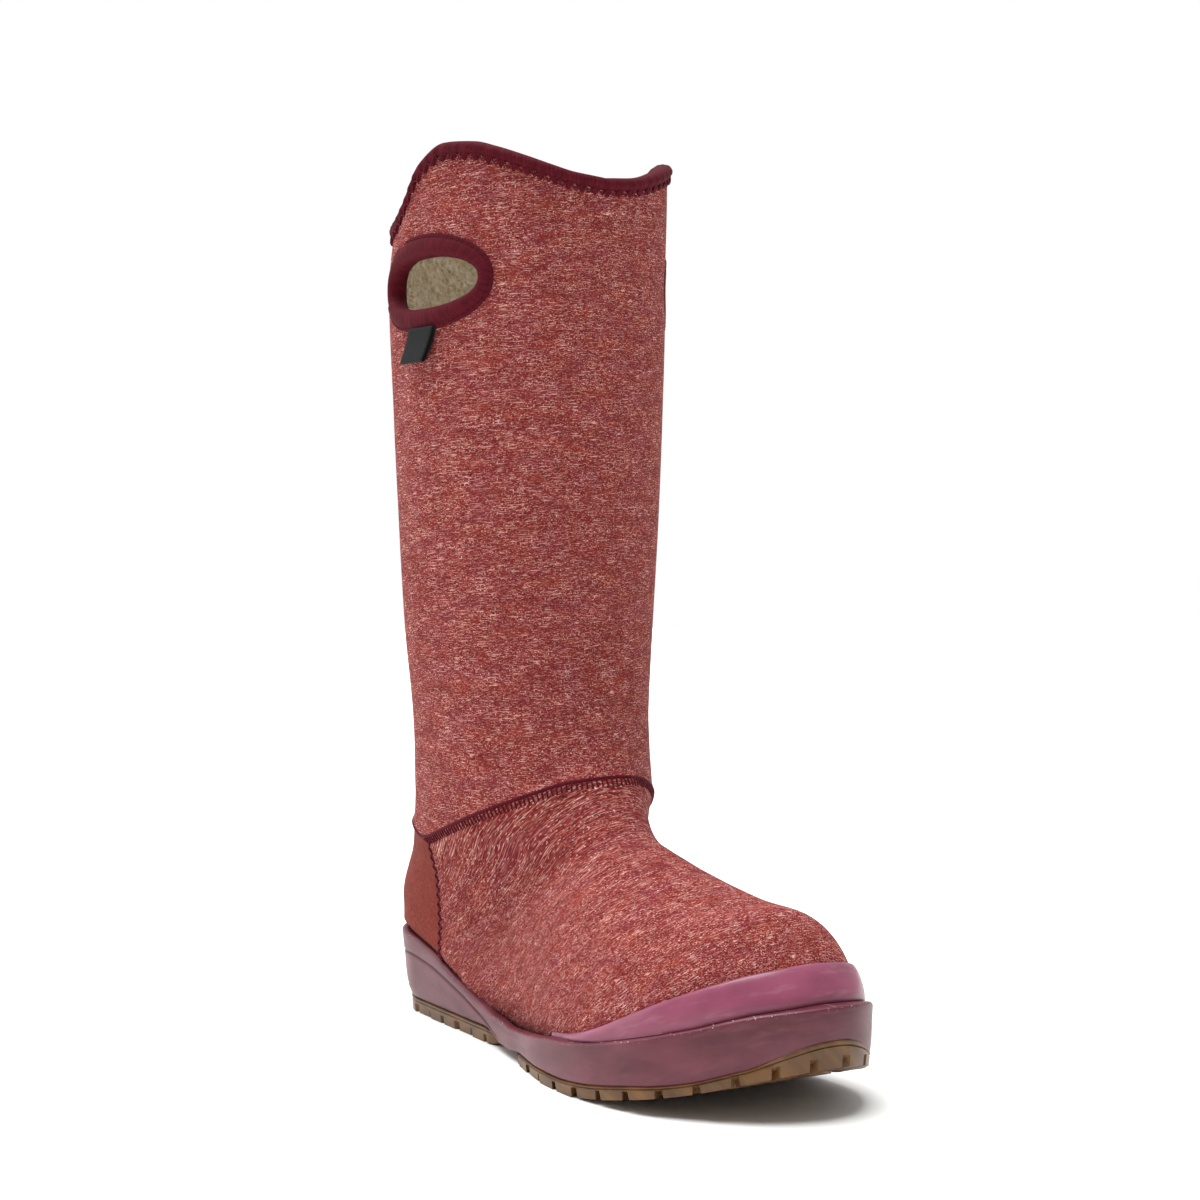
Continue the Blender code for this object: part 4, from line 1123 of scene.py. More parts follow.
def sewn_row_tree(material: bpy.types.Material) -> bpy.types.NodeTree:
    """Tree that lays stitches of thread along a line that lies on the boot."""
    tree = group_tree("sewn_row", (
        ("Pitch", "NodeSocketFloat", 0.002), ("Stitch Length", "NodeSocketFloat", 0.003),
        ("Thread Radius", "NodeSocketFloat", 0.0003), ("Rise", "NodeSocketFloat", 0.0003),
        ("Turn", "NodeSocketFloat", 0.0), ("Swing", "NodeSocketFloat", 0.0),
        ("Uneven", "NodeSocketFloat", 0.08), ("Seed", "NodeSocketInt", 1),
    ))
    given = tree.nodes.new("NodeGroupInput").outputs
    line = add_node(tree, "GeometryNodeMeshToCurve", {}, {0: given["Geometry"]})
    points = add_node(tree, "GeometryNodeCurveToPoints", {"mode": "LENGTH"},
                      {"Curve": line.outputs[0], "Length": given["Pitch"]})
    outward = add_node(tree, "GeometryNodeInputNamedAttribute",
                       {"data_type": "FLOAT_VECTOR", "Name": "outward"})
    half = add_node(tree, "ShaderNodeMath", {"operation": "MULTIPLY", 1: 0.5},
                    {0: given["Stitch Length"]}).outputs[0]
    back = add_node(tree, "ShaderNodeMath", {"operation": "MULTIPLY", 1: -0.5},
                    {0: given["Stitch Length"]}).outputs[0]
    start = add_node(tree, "ShaderNodeCombineXYZ", {}, {"X": back})
    middle = add_node(tree, "ShaderNodeCombineXYZ", {}, {"Z": given["Rise"]})
    end = add_node(tree, "ShaderNodeCombineXYZ", {}, {"X": half})
    bow = add_node(tree, "GeometryNodeCurveQuadraticBezier", {"Resolution": 5},
                   {"Start": start.outputs[0], "Middle": middle.outputs[0], "End": end.outputs[0]})
    ring = add_node(tree, "GeometryNodeCurvePrimitiveCircle", {"Resolution": 6},
                    {"Radius": given["Thread Radius"]})
    stitch = add_node(tree, "GeometryNodeCurveToMesh", {"Fill Caps": True},
                      {"Curve": bow.outputs[0], "Profile Curve": ring.outputs[0]})
    upright = add_node(tree, "FunctionNodeAlignRotationToVector", {"axis": "Z"},
                       {"Vector": outward.outputs["Attribute"]})
    ahead = add_node(tree, "FunctionNodeAlignRotationToVector", {"axis": "X", "pivot_axis": "Z"},
                     {"Rotation": upright.outputs[0], "Vector": points.outputs["Tangent"]})
    number = add_node(tree, "GeometryNodeInputIndex")
    odd = add_node(tree, "ShaderNodeMath", {"operation": "MODULO", 1: 2.0}, {0: number.outputs[0]})
    side = add_node(tree, "ShaderNodeMath", {"operation": "MULTIPLY_ADD", 1: 2.0, 2: -1.0},
                    {0: odd.outputs[0]})
    swing = add_node(tree, "ShaderNodeMath", {"operation": "MULTIPLY"},
                     {0: side.outputs[0], 1: given["Swing"]})
    chance = add_node(tree, "FunctionNodeRandomValue", {"data_type": "FLOAT", 2: -1.0, 3: 1.0},
                      {"Seed": given["Seed"]})
    uneven = add_node(tree, "ShaderNodeMath", {"operation": "MULTIPLY_ADD"},
                      {0: chance.outputs[1], 1: given["Uneven"], 2: swing.outputs[0]})
    angle = add_node(tree, "ShaderNodeMath", {"operation": "ADD"},
                     {0: uneven.outputs[0], 1: given["Turn"]})
    spin = add_node(tree, "FunctionNodeAxisAngleToRotation", {"Axis": (0.0, 0.0, 1.0)},
                    {"Angle": angle.outputs[0]})
    facing = add_node(tree, "FunctionNodeRotateRotation", {"rotation_space": "LOCAL"},
                      {"Rotation": ahead.outputs[0], "Rotate By": spin.outputs[0]})
    laid = add_node(tree, "GeometryNodeInstanceOnPoints", {},
                    {"Points": points.outputs["Points"], "Instance": stitch.outputs[0],
                     "Rotation": facing.outputs[0]})
    real = add_node(tree, "GeometryNodeRealizeInstances", {}, {0: laid.outputs[0]})
    dressed = add_node(tree, "GeometryNodeSetMaterial", {"Material": material},
                       {0: real.outputs[0]})
    add_node(tree, "NodeGroupOutput", {}, {0: dressed.outputs[0]})
    return tree


def fleece_tree(material: bpy.types.Material) -> bpy.types.NodeTree:
    """Tree that strews curly tufts over the lining."""
    tree = group_tree("fleece_tufts", (
        ("Per Square Metre", "NodeSocketFloat", 2e5), ("Tuft Radius", "NodeSocketFloat", 0.0007),
        ("Seed", "NodeSocketInt", 1),
    ))
    given = tree.nodes.new("NodeGroupInput").outputs
    points = add_node(tree, "GeometryNodeDistributePointsOnFaces", {"distribute_method": "RANDOM"},
                      {"Mesh": given["Geometry"], "Density": given["Per Square Metre"],
                       "Seed": given["Seed"]})
    tuft = add_node(tree, "GeometryNodeMeshIcoSphere", {"Subdivisions": 1},
                    {"Radius": given["Tuft Radius"]})
    size = add_node(tree, "FunctionNodeRandomValue",
                    {"data_type": "FLOAT_VECTOR", 0: (0.6, 0.6, 0.6), 1: (1.35, 1.35, 1.2)},
                    {"Seed": given["Seed"]})
    laid = add_node(tree, "GeometryNodeInstanceOnPoints", {},
                    {"Points": points.outputs["Points"], "Instance": tuft.outputs[0],
                     "Rotation": points.outputs["Rotation"], "Scale": size.outputs[0]})
    real = add_node(tree, "GeometryNodeRealizeInstances", {}, {0: laid.outputs[0]})
    dressed = add_node(tree, "GeometryNodeSetMaterial", {"Material": material},
                       {0: real.outputs[0]})
    add_node(tree, "NodeGroupOutput", {}, {0: dressed.outputs[0]})
    return tree


def line_object(points: Array, outward: Array, closed: bool = False) -> bpy.types.Object:
    """Line of edges that carries the surface's direction, for a row of stitches."""
    count = len(points)
    edges = [(i, i + 1) for i in range(count - 1)] + ([(count - 1, 0)] if closed else [])
    mesh = bpy.data.meshes.new("line")
    mesh.from_pydata(FORM.world(points).tolist(), edges, [])
    layer = mesh.attributes.new("outward", "FLOAT_VECTOR", "POINT")
    layer.data.foreach_set("vector", np.asarray(outward, float).ravel())
    line = bpy.data.objects.new("line", mesh)
    bpy.context.collection.objects.link(line)
    return line


def swept(points: Array, outward: Array, section: Array, closed: bool = False) -> Array:
    """Grid of a section moved along a line.

    Args:
        points: The line.
        outward: Direction away from the surface at each point.
        section: Places across the line and away from the surface.
        closed: Whether the line is a ring.

    Returns:
        Grid of points, a row for each place of the line.
    """
    if closed:
        tangent = np.roll(points, -1, 0) - np.roll(points, 1, 0)
    else:
        tangent = np.gradient(points, axis=0)
    across = unit(np.cross(outward, unit(tangent)))
    return (points[:, None] + section[None, :, :1] * across[:, None]
            + section[None, :, 1:] * outward[:, None])


def round_section(radius: float, count: int = 8, flat: float = 1.0) -> Array:
    """Corners of a round section."""
    angle = np.arange(count) * 2 * np.pi / count
    return np.stack([radius * np.cos(angle), radius * flat * np.sin(angle)], -1)


def tube(name: str, points: Array, outward: Array, section: Array,
         material: bpy.types.Material, closed: bool = False) -> bpy.types.Object:
    """Tube with closed ends along a line, its map in millimetres."""
    grid = swept(points, outward, section, closed)
    rows, count = grid.shape[:2]
    faces, corners = grid_faces(rows, count, wrap_rows=closed, wrap_columns=True)
    along = walked(points, closed)[corners[..., 0]] / MM
    around = walked(np.pad(section, ((0, 0), (0, 1))), True)[corners[..., 1]] / MM
    all_faces = faces.tolist()
    uv = np.stack([along, around], -1).reshape(-1, 2)
    if not closed:
        all_faces += [list(range(count)), list(range((rows - 1) * count, rows * count))]
        uv = np.concatenate([uv, np.zeros((2 * count, 2))])
    return make_piece(name, grid, all_faces, [material], uv)


@dataclass
class Seams:
    """Threads of the ankle seam and of the heel seam."""

    upper: TextileUpper
    finishes: Finishes
    ladder_pitch: float = 0.0021
    ladder_length: float = 0.0032
    zigzag_pitch: float = 0.0020
    zigzag_length: float = 0.0031
    thread: float = 0.00042

    def seam_frame(self, level: Array, turn: Array) -> tuple[Array, Array]:
        """Points of the dressed skin and the true direction away from it."""
        here = self.upper.surface(level, turn)
        up = self.upper.surface(level + 0.004, turn) - self.upper.surface(level - 0.004, turn)
        ahead = self.upper.surface(level, turn + 0.004) - self.upper.surface(level, turn - 0.004)
        return here, unit(np.cross(ahead, up))

    def build(self) -> list[bpy.types.Object]:
        """Make the rows of thread."""
        tree = sewn_row_tree(self.finishes.thread)
        start = float(np.interp(1.0, *self.upper.seam_turns))
        turn = np.linspace(start, 2 - start, 700)
        down = self.ladder_length * 0.55 / FORM.seam_back
        rows = []
        points, outward = self.seam_frame(np.full(700, 1.0 - down), turn)
        ladder = grow(line_object(points + 0.0001 * outward, outward), tree, "ankle_seam_ladder", {
            "Pitch": self.ladder_pitch, "Stitch Length": self.ladder_length,
            "Thread Radius": self.thread, "Rise": 0.0002, "Turn": math.pi / 2, "Uneven": 0.16})
        rows.append(declare(ladder, "binding_knit"))
        around = np.arange(900) * 2 / 900
        points, outward = self.seam_frame(np.full(900, 1.0015), around)
        cord = tube("ankle_seam_cord", points, outward, round_section(0.00085, 8, 0.8),
                    self.finishes.binding, closed=True)
        rows.append(declare(cord, "binding_knit"))
        level = np.linspace(0.03, 0.995, 200)
        for side, name in ((Side.LATERAL, "right"), (Side.MEDIAL, "left")):
            seam = np.interp(level, *self.upper.seam_turns)
            turn = seam if side is Side.LATERAL else 2 - seam
            points, outward = self.seam_frame(level, turn)
            zigzag = grow(line_object(points + 0.0002 * outward, outward), tree,
                          "heel_seam_zigzag_" + name, {
                              "Pitch": self.zigzag_pitch, "Stitch Length": self.zigzag_length,
                              "Thread Radius": self.thread, "Rise": 0.0003, "Swing": 0.95,
                              "Uneven": 0.08})
            rows.append(declare(zigzag, "binding_knit"))
        return rows


@dataclass
class CollarBinding:
    """Knitted tape rolled over the shaft's edge, with a zigzag lower edge."""

    finishes: Finishes
    teeth: int = 70
    columns: int = 840
    drop: float = 0.0074
    tooth: float = 0.0034
    roll: float = 0.0018

    def build(self) -> list[bpy.types.Object]:
        """Make the binding and its row of thread."""
        turn = np.arange(self.columns) * 2.0 / self.columns
        edge = FORM.skin(np.full(self.columns, 2.0), turn)
        run = walked(edge, True)
        share = (run[:-1] / run[-1] * self.teeth) % 1.0
        tooth = 1 - np.abs(2 * share - 1)
        span = FORM.height - FORM.ankle_height
        wall = FORM.wall
        bottom = self.drop - self.tooth * smooth_step(tooth * 1.1)
        puff = 1 + 0.12 * np.sin(2 * np.pi * share)
        section = (
            (bottom, 0.0002, 0.0), (bottom - 0.0004, 0.0010, 0.0), (0.0043 + 0 * turn, 0.0011, 0.0),
            (0.0037 + 0 * turn, 0.0013, 0.0), (0.0026 + 0 * turn, 0.0019 * puff, 0.0),
            (0.0012 + 0 * turn, 0.0020 * puff, 0.0), (0 * turn, 0.0016, 0.0),
            (0 * turn, 0.0006, 0.0010), (0 * turn, -wall / 2, 0.0015),
            (0 * turn, -wall - 0.0006, 0.0010), (0 * turn, -wall - 0.0015, 0.0),
            (0.0016 + 0 * turn, -wall - 0.0019, 0.0), (0.0040 + 0 * turn, -wall - 0.0012, 0.0),
            (0.0068 + 0 * turn, -wall - 0.0008, 0.0), (0.0070 + 0 * turn, -wall + 0.0004, 0.0),
            (0.0030 + 0 * turn, -wall / 2, 0.0),
        )
        grid = []
        for down, away, up in section:
            place = FORM.skin(2.0 - down / span, turn)
            grid.append(place + np.asarray(away + 0 * turn)[:, None] * FORM.outward(place)
                        + np.array([0.0, 0.0, up]))
        grid = np.stack(grid)
        faces, corners = grid_faces(len(grid), self.columns, True, True)
        down = np.array([s[0].mean() for s in section] + [section[0][0].mean()])
        uv = np.stack([run[corners[..., 1]] / MM, down[corners[..., 0]] / MM], -1)
        binding = make_piece("collar_binding_tape", grid, faces, [self.finishes.binding], uv)
        rows = [declare(binding, "binding_knit", "collar_binding")]
        fine = np.arange(1200) * 2.0 / 1200
        line = FORM.skin(np.full(1200, 2.0 - 0.0052 / span), fine)
        outward = FORM.outward(line)
        thread = grow(line_object(line + 0.0011 * outward, outward, closed=True),
                      sewn_row_tree(self.finishes.thread), "collar_zigzag_thread", {
                          "Pitch": float(run[-1] / self.teeth / 2), "Stitch Length": 0.0040,
                          "Thread Radius": 0.0003, "Rise": 0.0004, "Swing": 0.78, "Uneven": 0.05})
        rows.append(declare(thread, "binding_knit"))
        return rows


@dataclass
class HandleBinding:
    """Padded binding folded round one handle hole."""

    side: Side
    finishes: Finishes

    def build(self) -> list[bpy.types.Object]:
        """Make the binding and its row of thread."""
        word = "right" if self.side is Side.LATERAL else "left"
        angle = np.arange(HANDLE.points) * 2 * np.pi / HANDLE.points
        first, last = HANDLE.overlap
        lap = smooth_step((angle - first) / 0.05) * (1 - smooth_step((angle - last) / 0.25))
        wall = FORM.wall / MM
        section = (
            (8.0, 0.1), (7.8, 0.8), (7.1, 1.2), (6.6, 0.75), (6.1, 1.25), (4.6, 1.9), (2.6, 2.3),
            (0.8, 2.1), (-0.7, 1.2), (-1.5, -0.3), (-1.7, -wall / 2), (-1.5, -wall + 0.2),
            (-0.6, -wall - 1.3), (1.6, -wall - 2.0), (4.6, -wall - 1.9), (7.2, -wall - 1.2),
            (7.8, -wall - 0.2), (6.0, -wall / 2),
        )
        flat = 1.0 if self.side is Side.LATERAL else 0.25
        grid = []
        for grow_by, away in section:
            away = away * flat if away > 0 else away
            x, z = HANDLE.oval(grow_by * MM, angle)
            place = FORM.side_point(x, z, self.side)
            lift = away * MM + (0.0005 * lap if away > 0.5 else 0)
            grid.append(place + np.asarray(lift + 0 * angle)[:, None] * FORM.outward(place))
        grid = np.stack(grid)
        faces, corners = grid_faces(len(grid), HANDLE.points, True, True)
        run = walked(grid[6], True)
        wide = np.array([s[0] for s in section] + [section[0][0]])
        uv = np.stack([run[corners[..., 1]] / MM, wide[corners[..., 0]]], -1)
        roll = make_piece("handle_roll_" + word, grid, faces, [self.finishes.binding], uv)
        rows = [declare(roll, "binding_knit", "handle_binding_" + word)]
        x, z = HANDLE.oval(0.0066, angle)
        line = FORM.side_point(x, z, self.side)
        outward = FORM.outward(line)
        thread = grow(line_object(line + (0.0002 + 0.0008 * (flat == 1.0)) * outward,
                                  outward, closed=True),
                      sewn_row_tree(self.finishes.thread), "handle_stitches_" + word, {
                          "Pitch": 0.0027, "Stitch Length": 0.0021, "Thread Radius": 0.00028,
                          "Rise": 0.0003})
        rows.append(declare(thread, "binding_knit"))
        return rows


@dataclass
class SideTab:
    """Plain woven tape, folded and sewn in under the right handle."""

    finishes: Finishes
    width: float = 0.0155
    length: float = 0.0118
    lean: float = 0.35
    leaf: float = 0.0007
    lift: float = 0.0020

    def build(self) -> bpy.types.Object:
        """Make the folded tape."""
        top = FORM.height - HANDLE.drop - HANDLE.height / 2 - HANDLE.band + 0.0015
        length = self.length + 0.0015
        share = np.linspace(0, 1, 14)
        bend = np.linspace(0, np.pi, 7)[1:-1]
        fold = 0.0008
        down = np.concatenate([share * length, length + fold * np.sin(bend), share[::-1] * length])
        away = np.concatenate([0 * share + 2 * fold, fold + fold * np.cos(bend), 0 * share])
        away = away + 0.0006 + self.lift * (down / length) ** 2
        across = np.linspace(-0.5, 0.5, 12) * self.width
        x = HANDLE.x + 0.0015 + across[None, :] - self.lean * down[:, None]
        z = top - down[:, None] + 0 * across[None, :]
        place = FORM.side_point(x, z, Side.LATERAL)
        curl = 0.0003 * (2 * across[None, :] / self.width) ** 2
        grid = place + (away[:, None] + curl)[..., None] * FORM.outward(place)
        faces, corners = grid_faces(*grid.shape[:2])
        run = walked(np.stack([down, away, 0 * down], -1))
        uv = np.stack([across[corners[..., 1]] / MM, run[corners[..., 0]] / MM], -1)
        tab = make_piece("folded_side_tab", grid, faces[:, ::-1], [self.finishes.tape], uv[:, ::-1],
                         turn_out=False)
        add_modifier(tab, "SOLIDIFY", thickness=self.leaf, offset=0.0)
        return declare(tab, "tab_cloth", "side_tab")


@dataclass
class FleeceTufts:
    """Curly pile of the lining, down to where the eye still reaches."""

    finishes: Finishes
    reach: float = 0.095
    density: float = 150000.0
    radius: float = 0.00115

    def build(self) -> bpy.types.Object:
        """Make the tufts."""
        span = FORM.height - FORM.ankle_height
        level = np.linspace(2 - self.reach / span, 2 - 0.0055 / span, 26)
        turn = np.arange(120) * 2.0 / 120
        points = FORM.skin(level[:, None], turn[None, :])
        points = points - (FORM.wall + 0.0003) * FORM.outward(points)
        faces, corners = grid_faces(*points.shape[:2], wrap_columns=True)
        middle = points.reshape(-1, 3)[faces].mean(axis=1)
        keep = ~HANDLE.covers(middle, 0.001)
        patch = make_piece("lining_patch", points, faces[keep][:, ::-1], [], turn_out=False)
        tufts = grow(patch, fleece_tree(self.finishes.fleece), "fleece_tufts", {
            "Per Square Metre": self.density, "Tuft Radius": self.radius, "Seed": 4})
        return declare(tufts, "shaft_textile")


@dataclass
class ToeBumper:
    """Moulded rubber bumper over the toe, on the cup's edge."""

    finishes: Finishes
    columns: int = 220
    start: float = 0.645
    tip: float = 0.0015
    height: float = 0.0115
    swell: float = 1.3
    wall: float = 0.0023

    def build(self) -> bpy.types.Object:
        """Make the bumper."""
        fine = np.linspace(0.0, 1.0, 800)
        first = float(np.interp(self.start * FORM.length,
                                FORM.plan_point(fine, 0 * fine)[:, 0], fine))
        turn = np.linspace(first, 2 - first, self.columns)
        share = smooth_step(self.swell * np.sin(np.pi * (turn - first) / (2 - 2 * first)))
        low = FORM.cup_top(FORM.plan_point(turn, 0 * turn)[:, 0]) - 0.0004
        tall = self.tip + self.height * share + 0.0004
        ends = np.clip(share * 9, 0.25, 1.0)
        section = (
            (0.0, -0.0004), (0.0, 0.6), (0.03, 0.92), (0.2, 1.06), (0.42, 1.1), (0.64, 1.04),
            (0.82, 0.9), (0.92, 0.76), (0.965, 0.62), (0.99, 0.40), (1.0, 0.10), (0.985, -0.0004),
            (0.7, -0.0004), (0.35, -0.0004),
        )
        grid = []
        for up, away in section:
            place = FORM.wall_point(turn, low + up * tall)
            thick = self.wall * away * ends if away > 0 else away + 0 * turn
            grid.append(place + thick[:, None] * FORM.outward(place))
        grid = np.stack(grid)
        grid[:2, :, 2] = low
        faces, corners = grid_faces(len(grid), self.columns, wrap_rows=True)
        run = walked(grid[4])
        below = (1 - np.array([s[0] for s in section] + [0.0])) * self.height
        uv = np.stack([run[corners[..., 1]], below[corners[..., 0]]], -1).reshape(-1, 2) / MM
        last = self.columns - 1
        all_faces = faces.tolist() + [[r * self.columns for r in range(len(grid))],
                                      [r * self.columns + last for r in range(len(grid))]]
        uv = np.concatenate([uv, np.zeros((2 * len(grid), 2))])
        bumper = make_piece("toe_bumper_moulding", grid, all_faces, [self.finishes.bumper], uv,
                            sharp=50)
        return declare(bumper, "bumper_rubber", "toe_bumper")


class WallRow(NamedTuple):
    """Height of a ring on the cup's side, and how much of the undercut it keeps."""

    up: float
    drawn: float


CUP_WALL_ROWS = (
    WallRow(0.00, 1.00), WallRow(0.04, 0.86), WallRow(0.12, 0.66), WallRow(0.28, 0.45),
    WallRow(0.46, 0.33), WallRow(0.58, 0.28), WallRow(0.70, 0.17), WallRow(0.82, 0.09),
    WallRow(0.93, 0.02), WallRow(1.00, 0.00),
)


class GrooveRow(NamedTuple):
    """Run of the groove in the cup's side: its height as a share of the side, and its depth."""

    along: float
    up: float
    depth: float


CUP_GROOVE = (
    GrooveRow(0.00, 0.655, 1.0), GrooveRow(0.083, 0.67, 1.0), GrooveRow(0.121, 0.70, 1.0),
    GrooveRow(0.213, 0.71, 1.0), GrooveRow(0.259, 0.73, 1.0), GrooveRow(0.304, 0.69, 1.0),
    GrooveRow(0.349, 0.50, 1.0), GrooveRow(0.394, 0.27, 0.9), GrooveRow(0.44, 0.20, 0.0),
    GrooveRow(1.00, 0.20, 0.0),
)


@dataclass
class RubberCup:
    """Cupped rubber midsole: foxing wall round the upper, tray floor and a groove at the heel."""

    finishes: Finishes
    columns: int = 300
    groove_half: float = 0.0008
    groove_depth: float = 0.0012
    rim: float = 0.0012
    joint_step: float = 0.0006
    waist_inset: float = 0.0070
    waist_lip: float = 0.0018

    def ring(self, turn: Array, x: Array, up: Array, low: Array, top: Array, cut: float) -> Array:
        """One ring of the cup's side."""
        drawn = column(CUP_WALL_ROWS, "drawn", up) * FORM.undercut(x)
        ring = FORM.plan_point(turn, drawn + cut * column(CUP_GROOVE, "depth", x / FORM.length))
        ring[:, 2] = low + (top - low) * up
        return ring

    def build(self) -> bpy.types.Object:
        """Make the cup."""
        turn = np.arange(self.columns) * 2.0 / self.columns
        x = FORM.plan_point(turn, 0 * turn)[:, 0]
        top = FORM.cup_top(x)
        low = FORM.gum_top(x) + 0.0006 - self.waist_lip * FORM.waist(x)
        joint = FORM.plan_point(turn, FORM.undercut(x) + self.joint_step
                                + FORM.waist(x) * self.waist_inset)
        joint[:, 2] = FORM.gum_top(joint[:, 0]) + 0.0001
        rings = [joint]
        middle = column(CUP_GROOVE, "up", x / FORM.length)
        half = np.minimum(self.groove_half / (top - low), middle / 2)
        for up in (0.0, 0.05, 0.17, 0.38, 0.62, 0.85):
            rings.append(self.ring(turn, x, up * (middle - 1.5 * half), low, top, 0.0))
        for step, cut in ((-1.5, 0.0), (-1.0, 0.1), (-0.55, 0.85), (0.0, 1.0), (0.55, 0.85),
                          (1.0, 0.1), (1.5, 0.0)):
            rings.append(self.ring(turn, x, middle + step * half, low, top,
                                   cut * self.groove_depth))
        rim_up = 1 - self.rim / (top - low)
        rings.append(self.ring(turn, x, (middle + 1.5 * half + rim_up) / 2, low, top, 0.0))
        for angle in np.radians((0, 25, 50, 72, 90)):
            up = rim_up + (1 - rim_up) * np.sin(angle)
            rings.append(self.ring(turn, x, up, low, top, 0.0))
            rings[-1] = FORM.plan_point(turn, self.rim * (1 - np.cos(angle)) + 0 * x)
            rings[-1][:, 2] = low + (top - low) * up
        for down in (0.0, 0.0009, 0.004):
            inner = FORM.wall_point(turn, top - down)
            inner = inner + (0.0001 if down else 0.0006) * FORM.outward(inner)
            inner[:, 2] = top - down
            rings.append(inner)
        floor = FORM.wall_point(turn, FORM.tray(x) + 0.0005)
        floor[:, 2] = FORM.tray(floor[:, 0])
        rings.append(floor)
        inner = FORM.plan_point(turn, FORM.cup_wall + 0.009 + 0 * x)
        inner[:, 2] = FORM.tray(inner[:, 0])
        rings.append(inner)
        grid = np.stack(rings)
        faces, corners = grid_faces(len(grid), self.columns, wrap_columns=True)
        run = walked(grid[5], True)
        below = np.concatenate([top[None] - grid[..., 2]], 0)
        below = np.concatenate([below, below[:, :1]], 1)
        uv = np.stack([run[corners[..., 1]], below[corners[..., 0], corners[..., 1]]], -1)
        uv = uv.reshape(-1, 2) / MM
        caps = strip_faces(0, self.columns) + strip_faces(
            (len(grid) - 1) * self.columns, self.columns)
        uv = np.concatenate([uv, np.full((sum(map(len, caps)), 2), 20.0)])
        cup = make_piece("rubber_cup", grid, faces.tolist() + caps, [self.finishes.cup], uv)
        return declare(cup, "cup_rubber", "midsole")


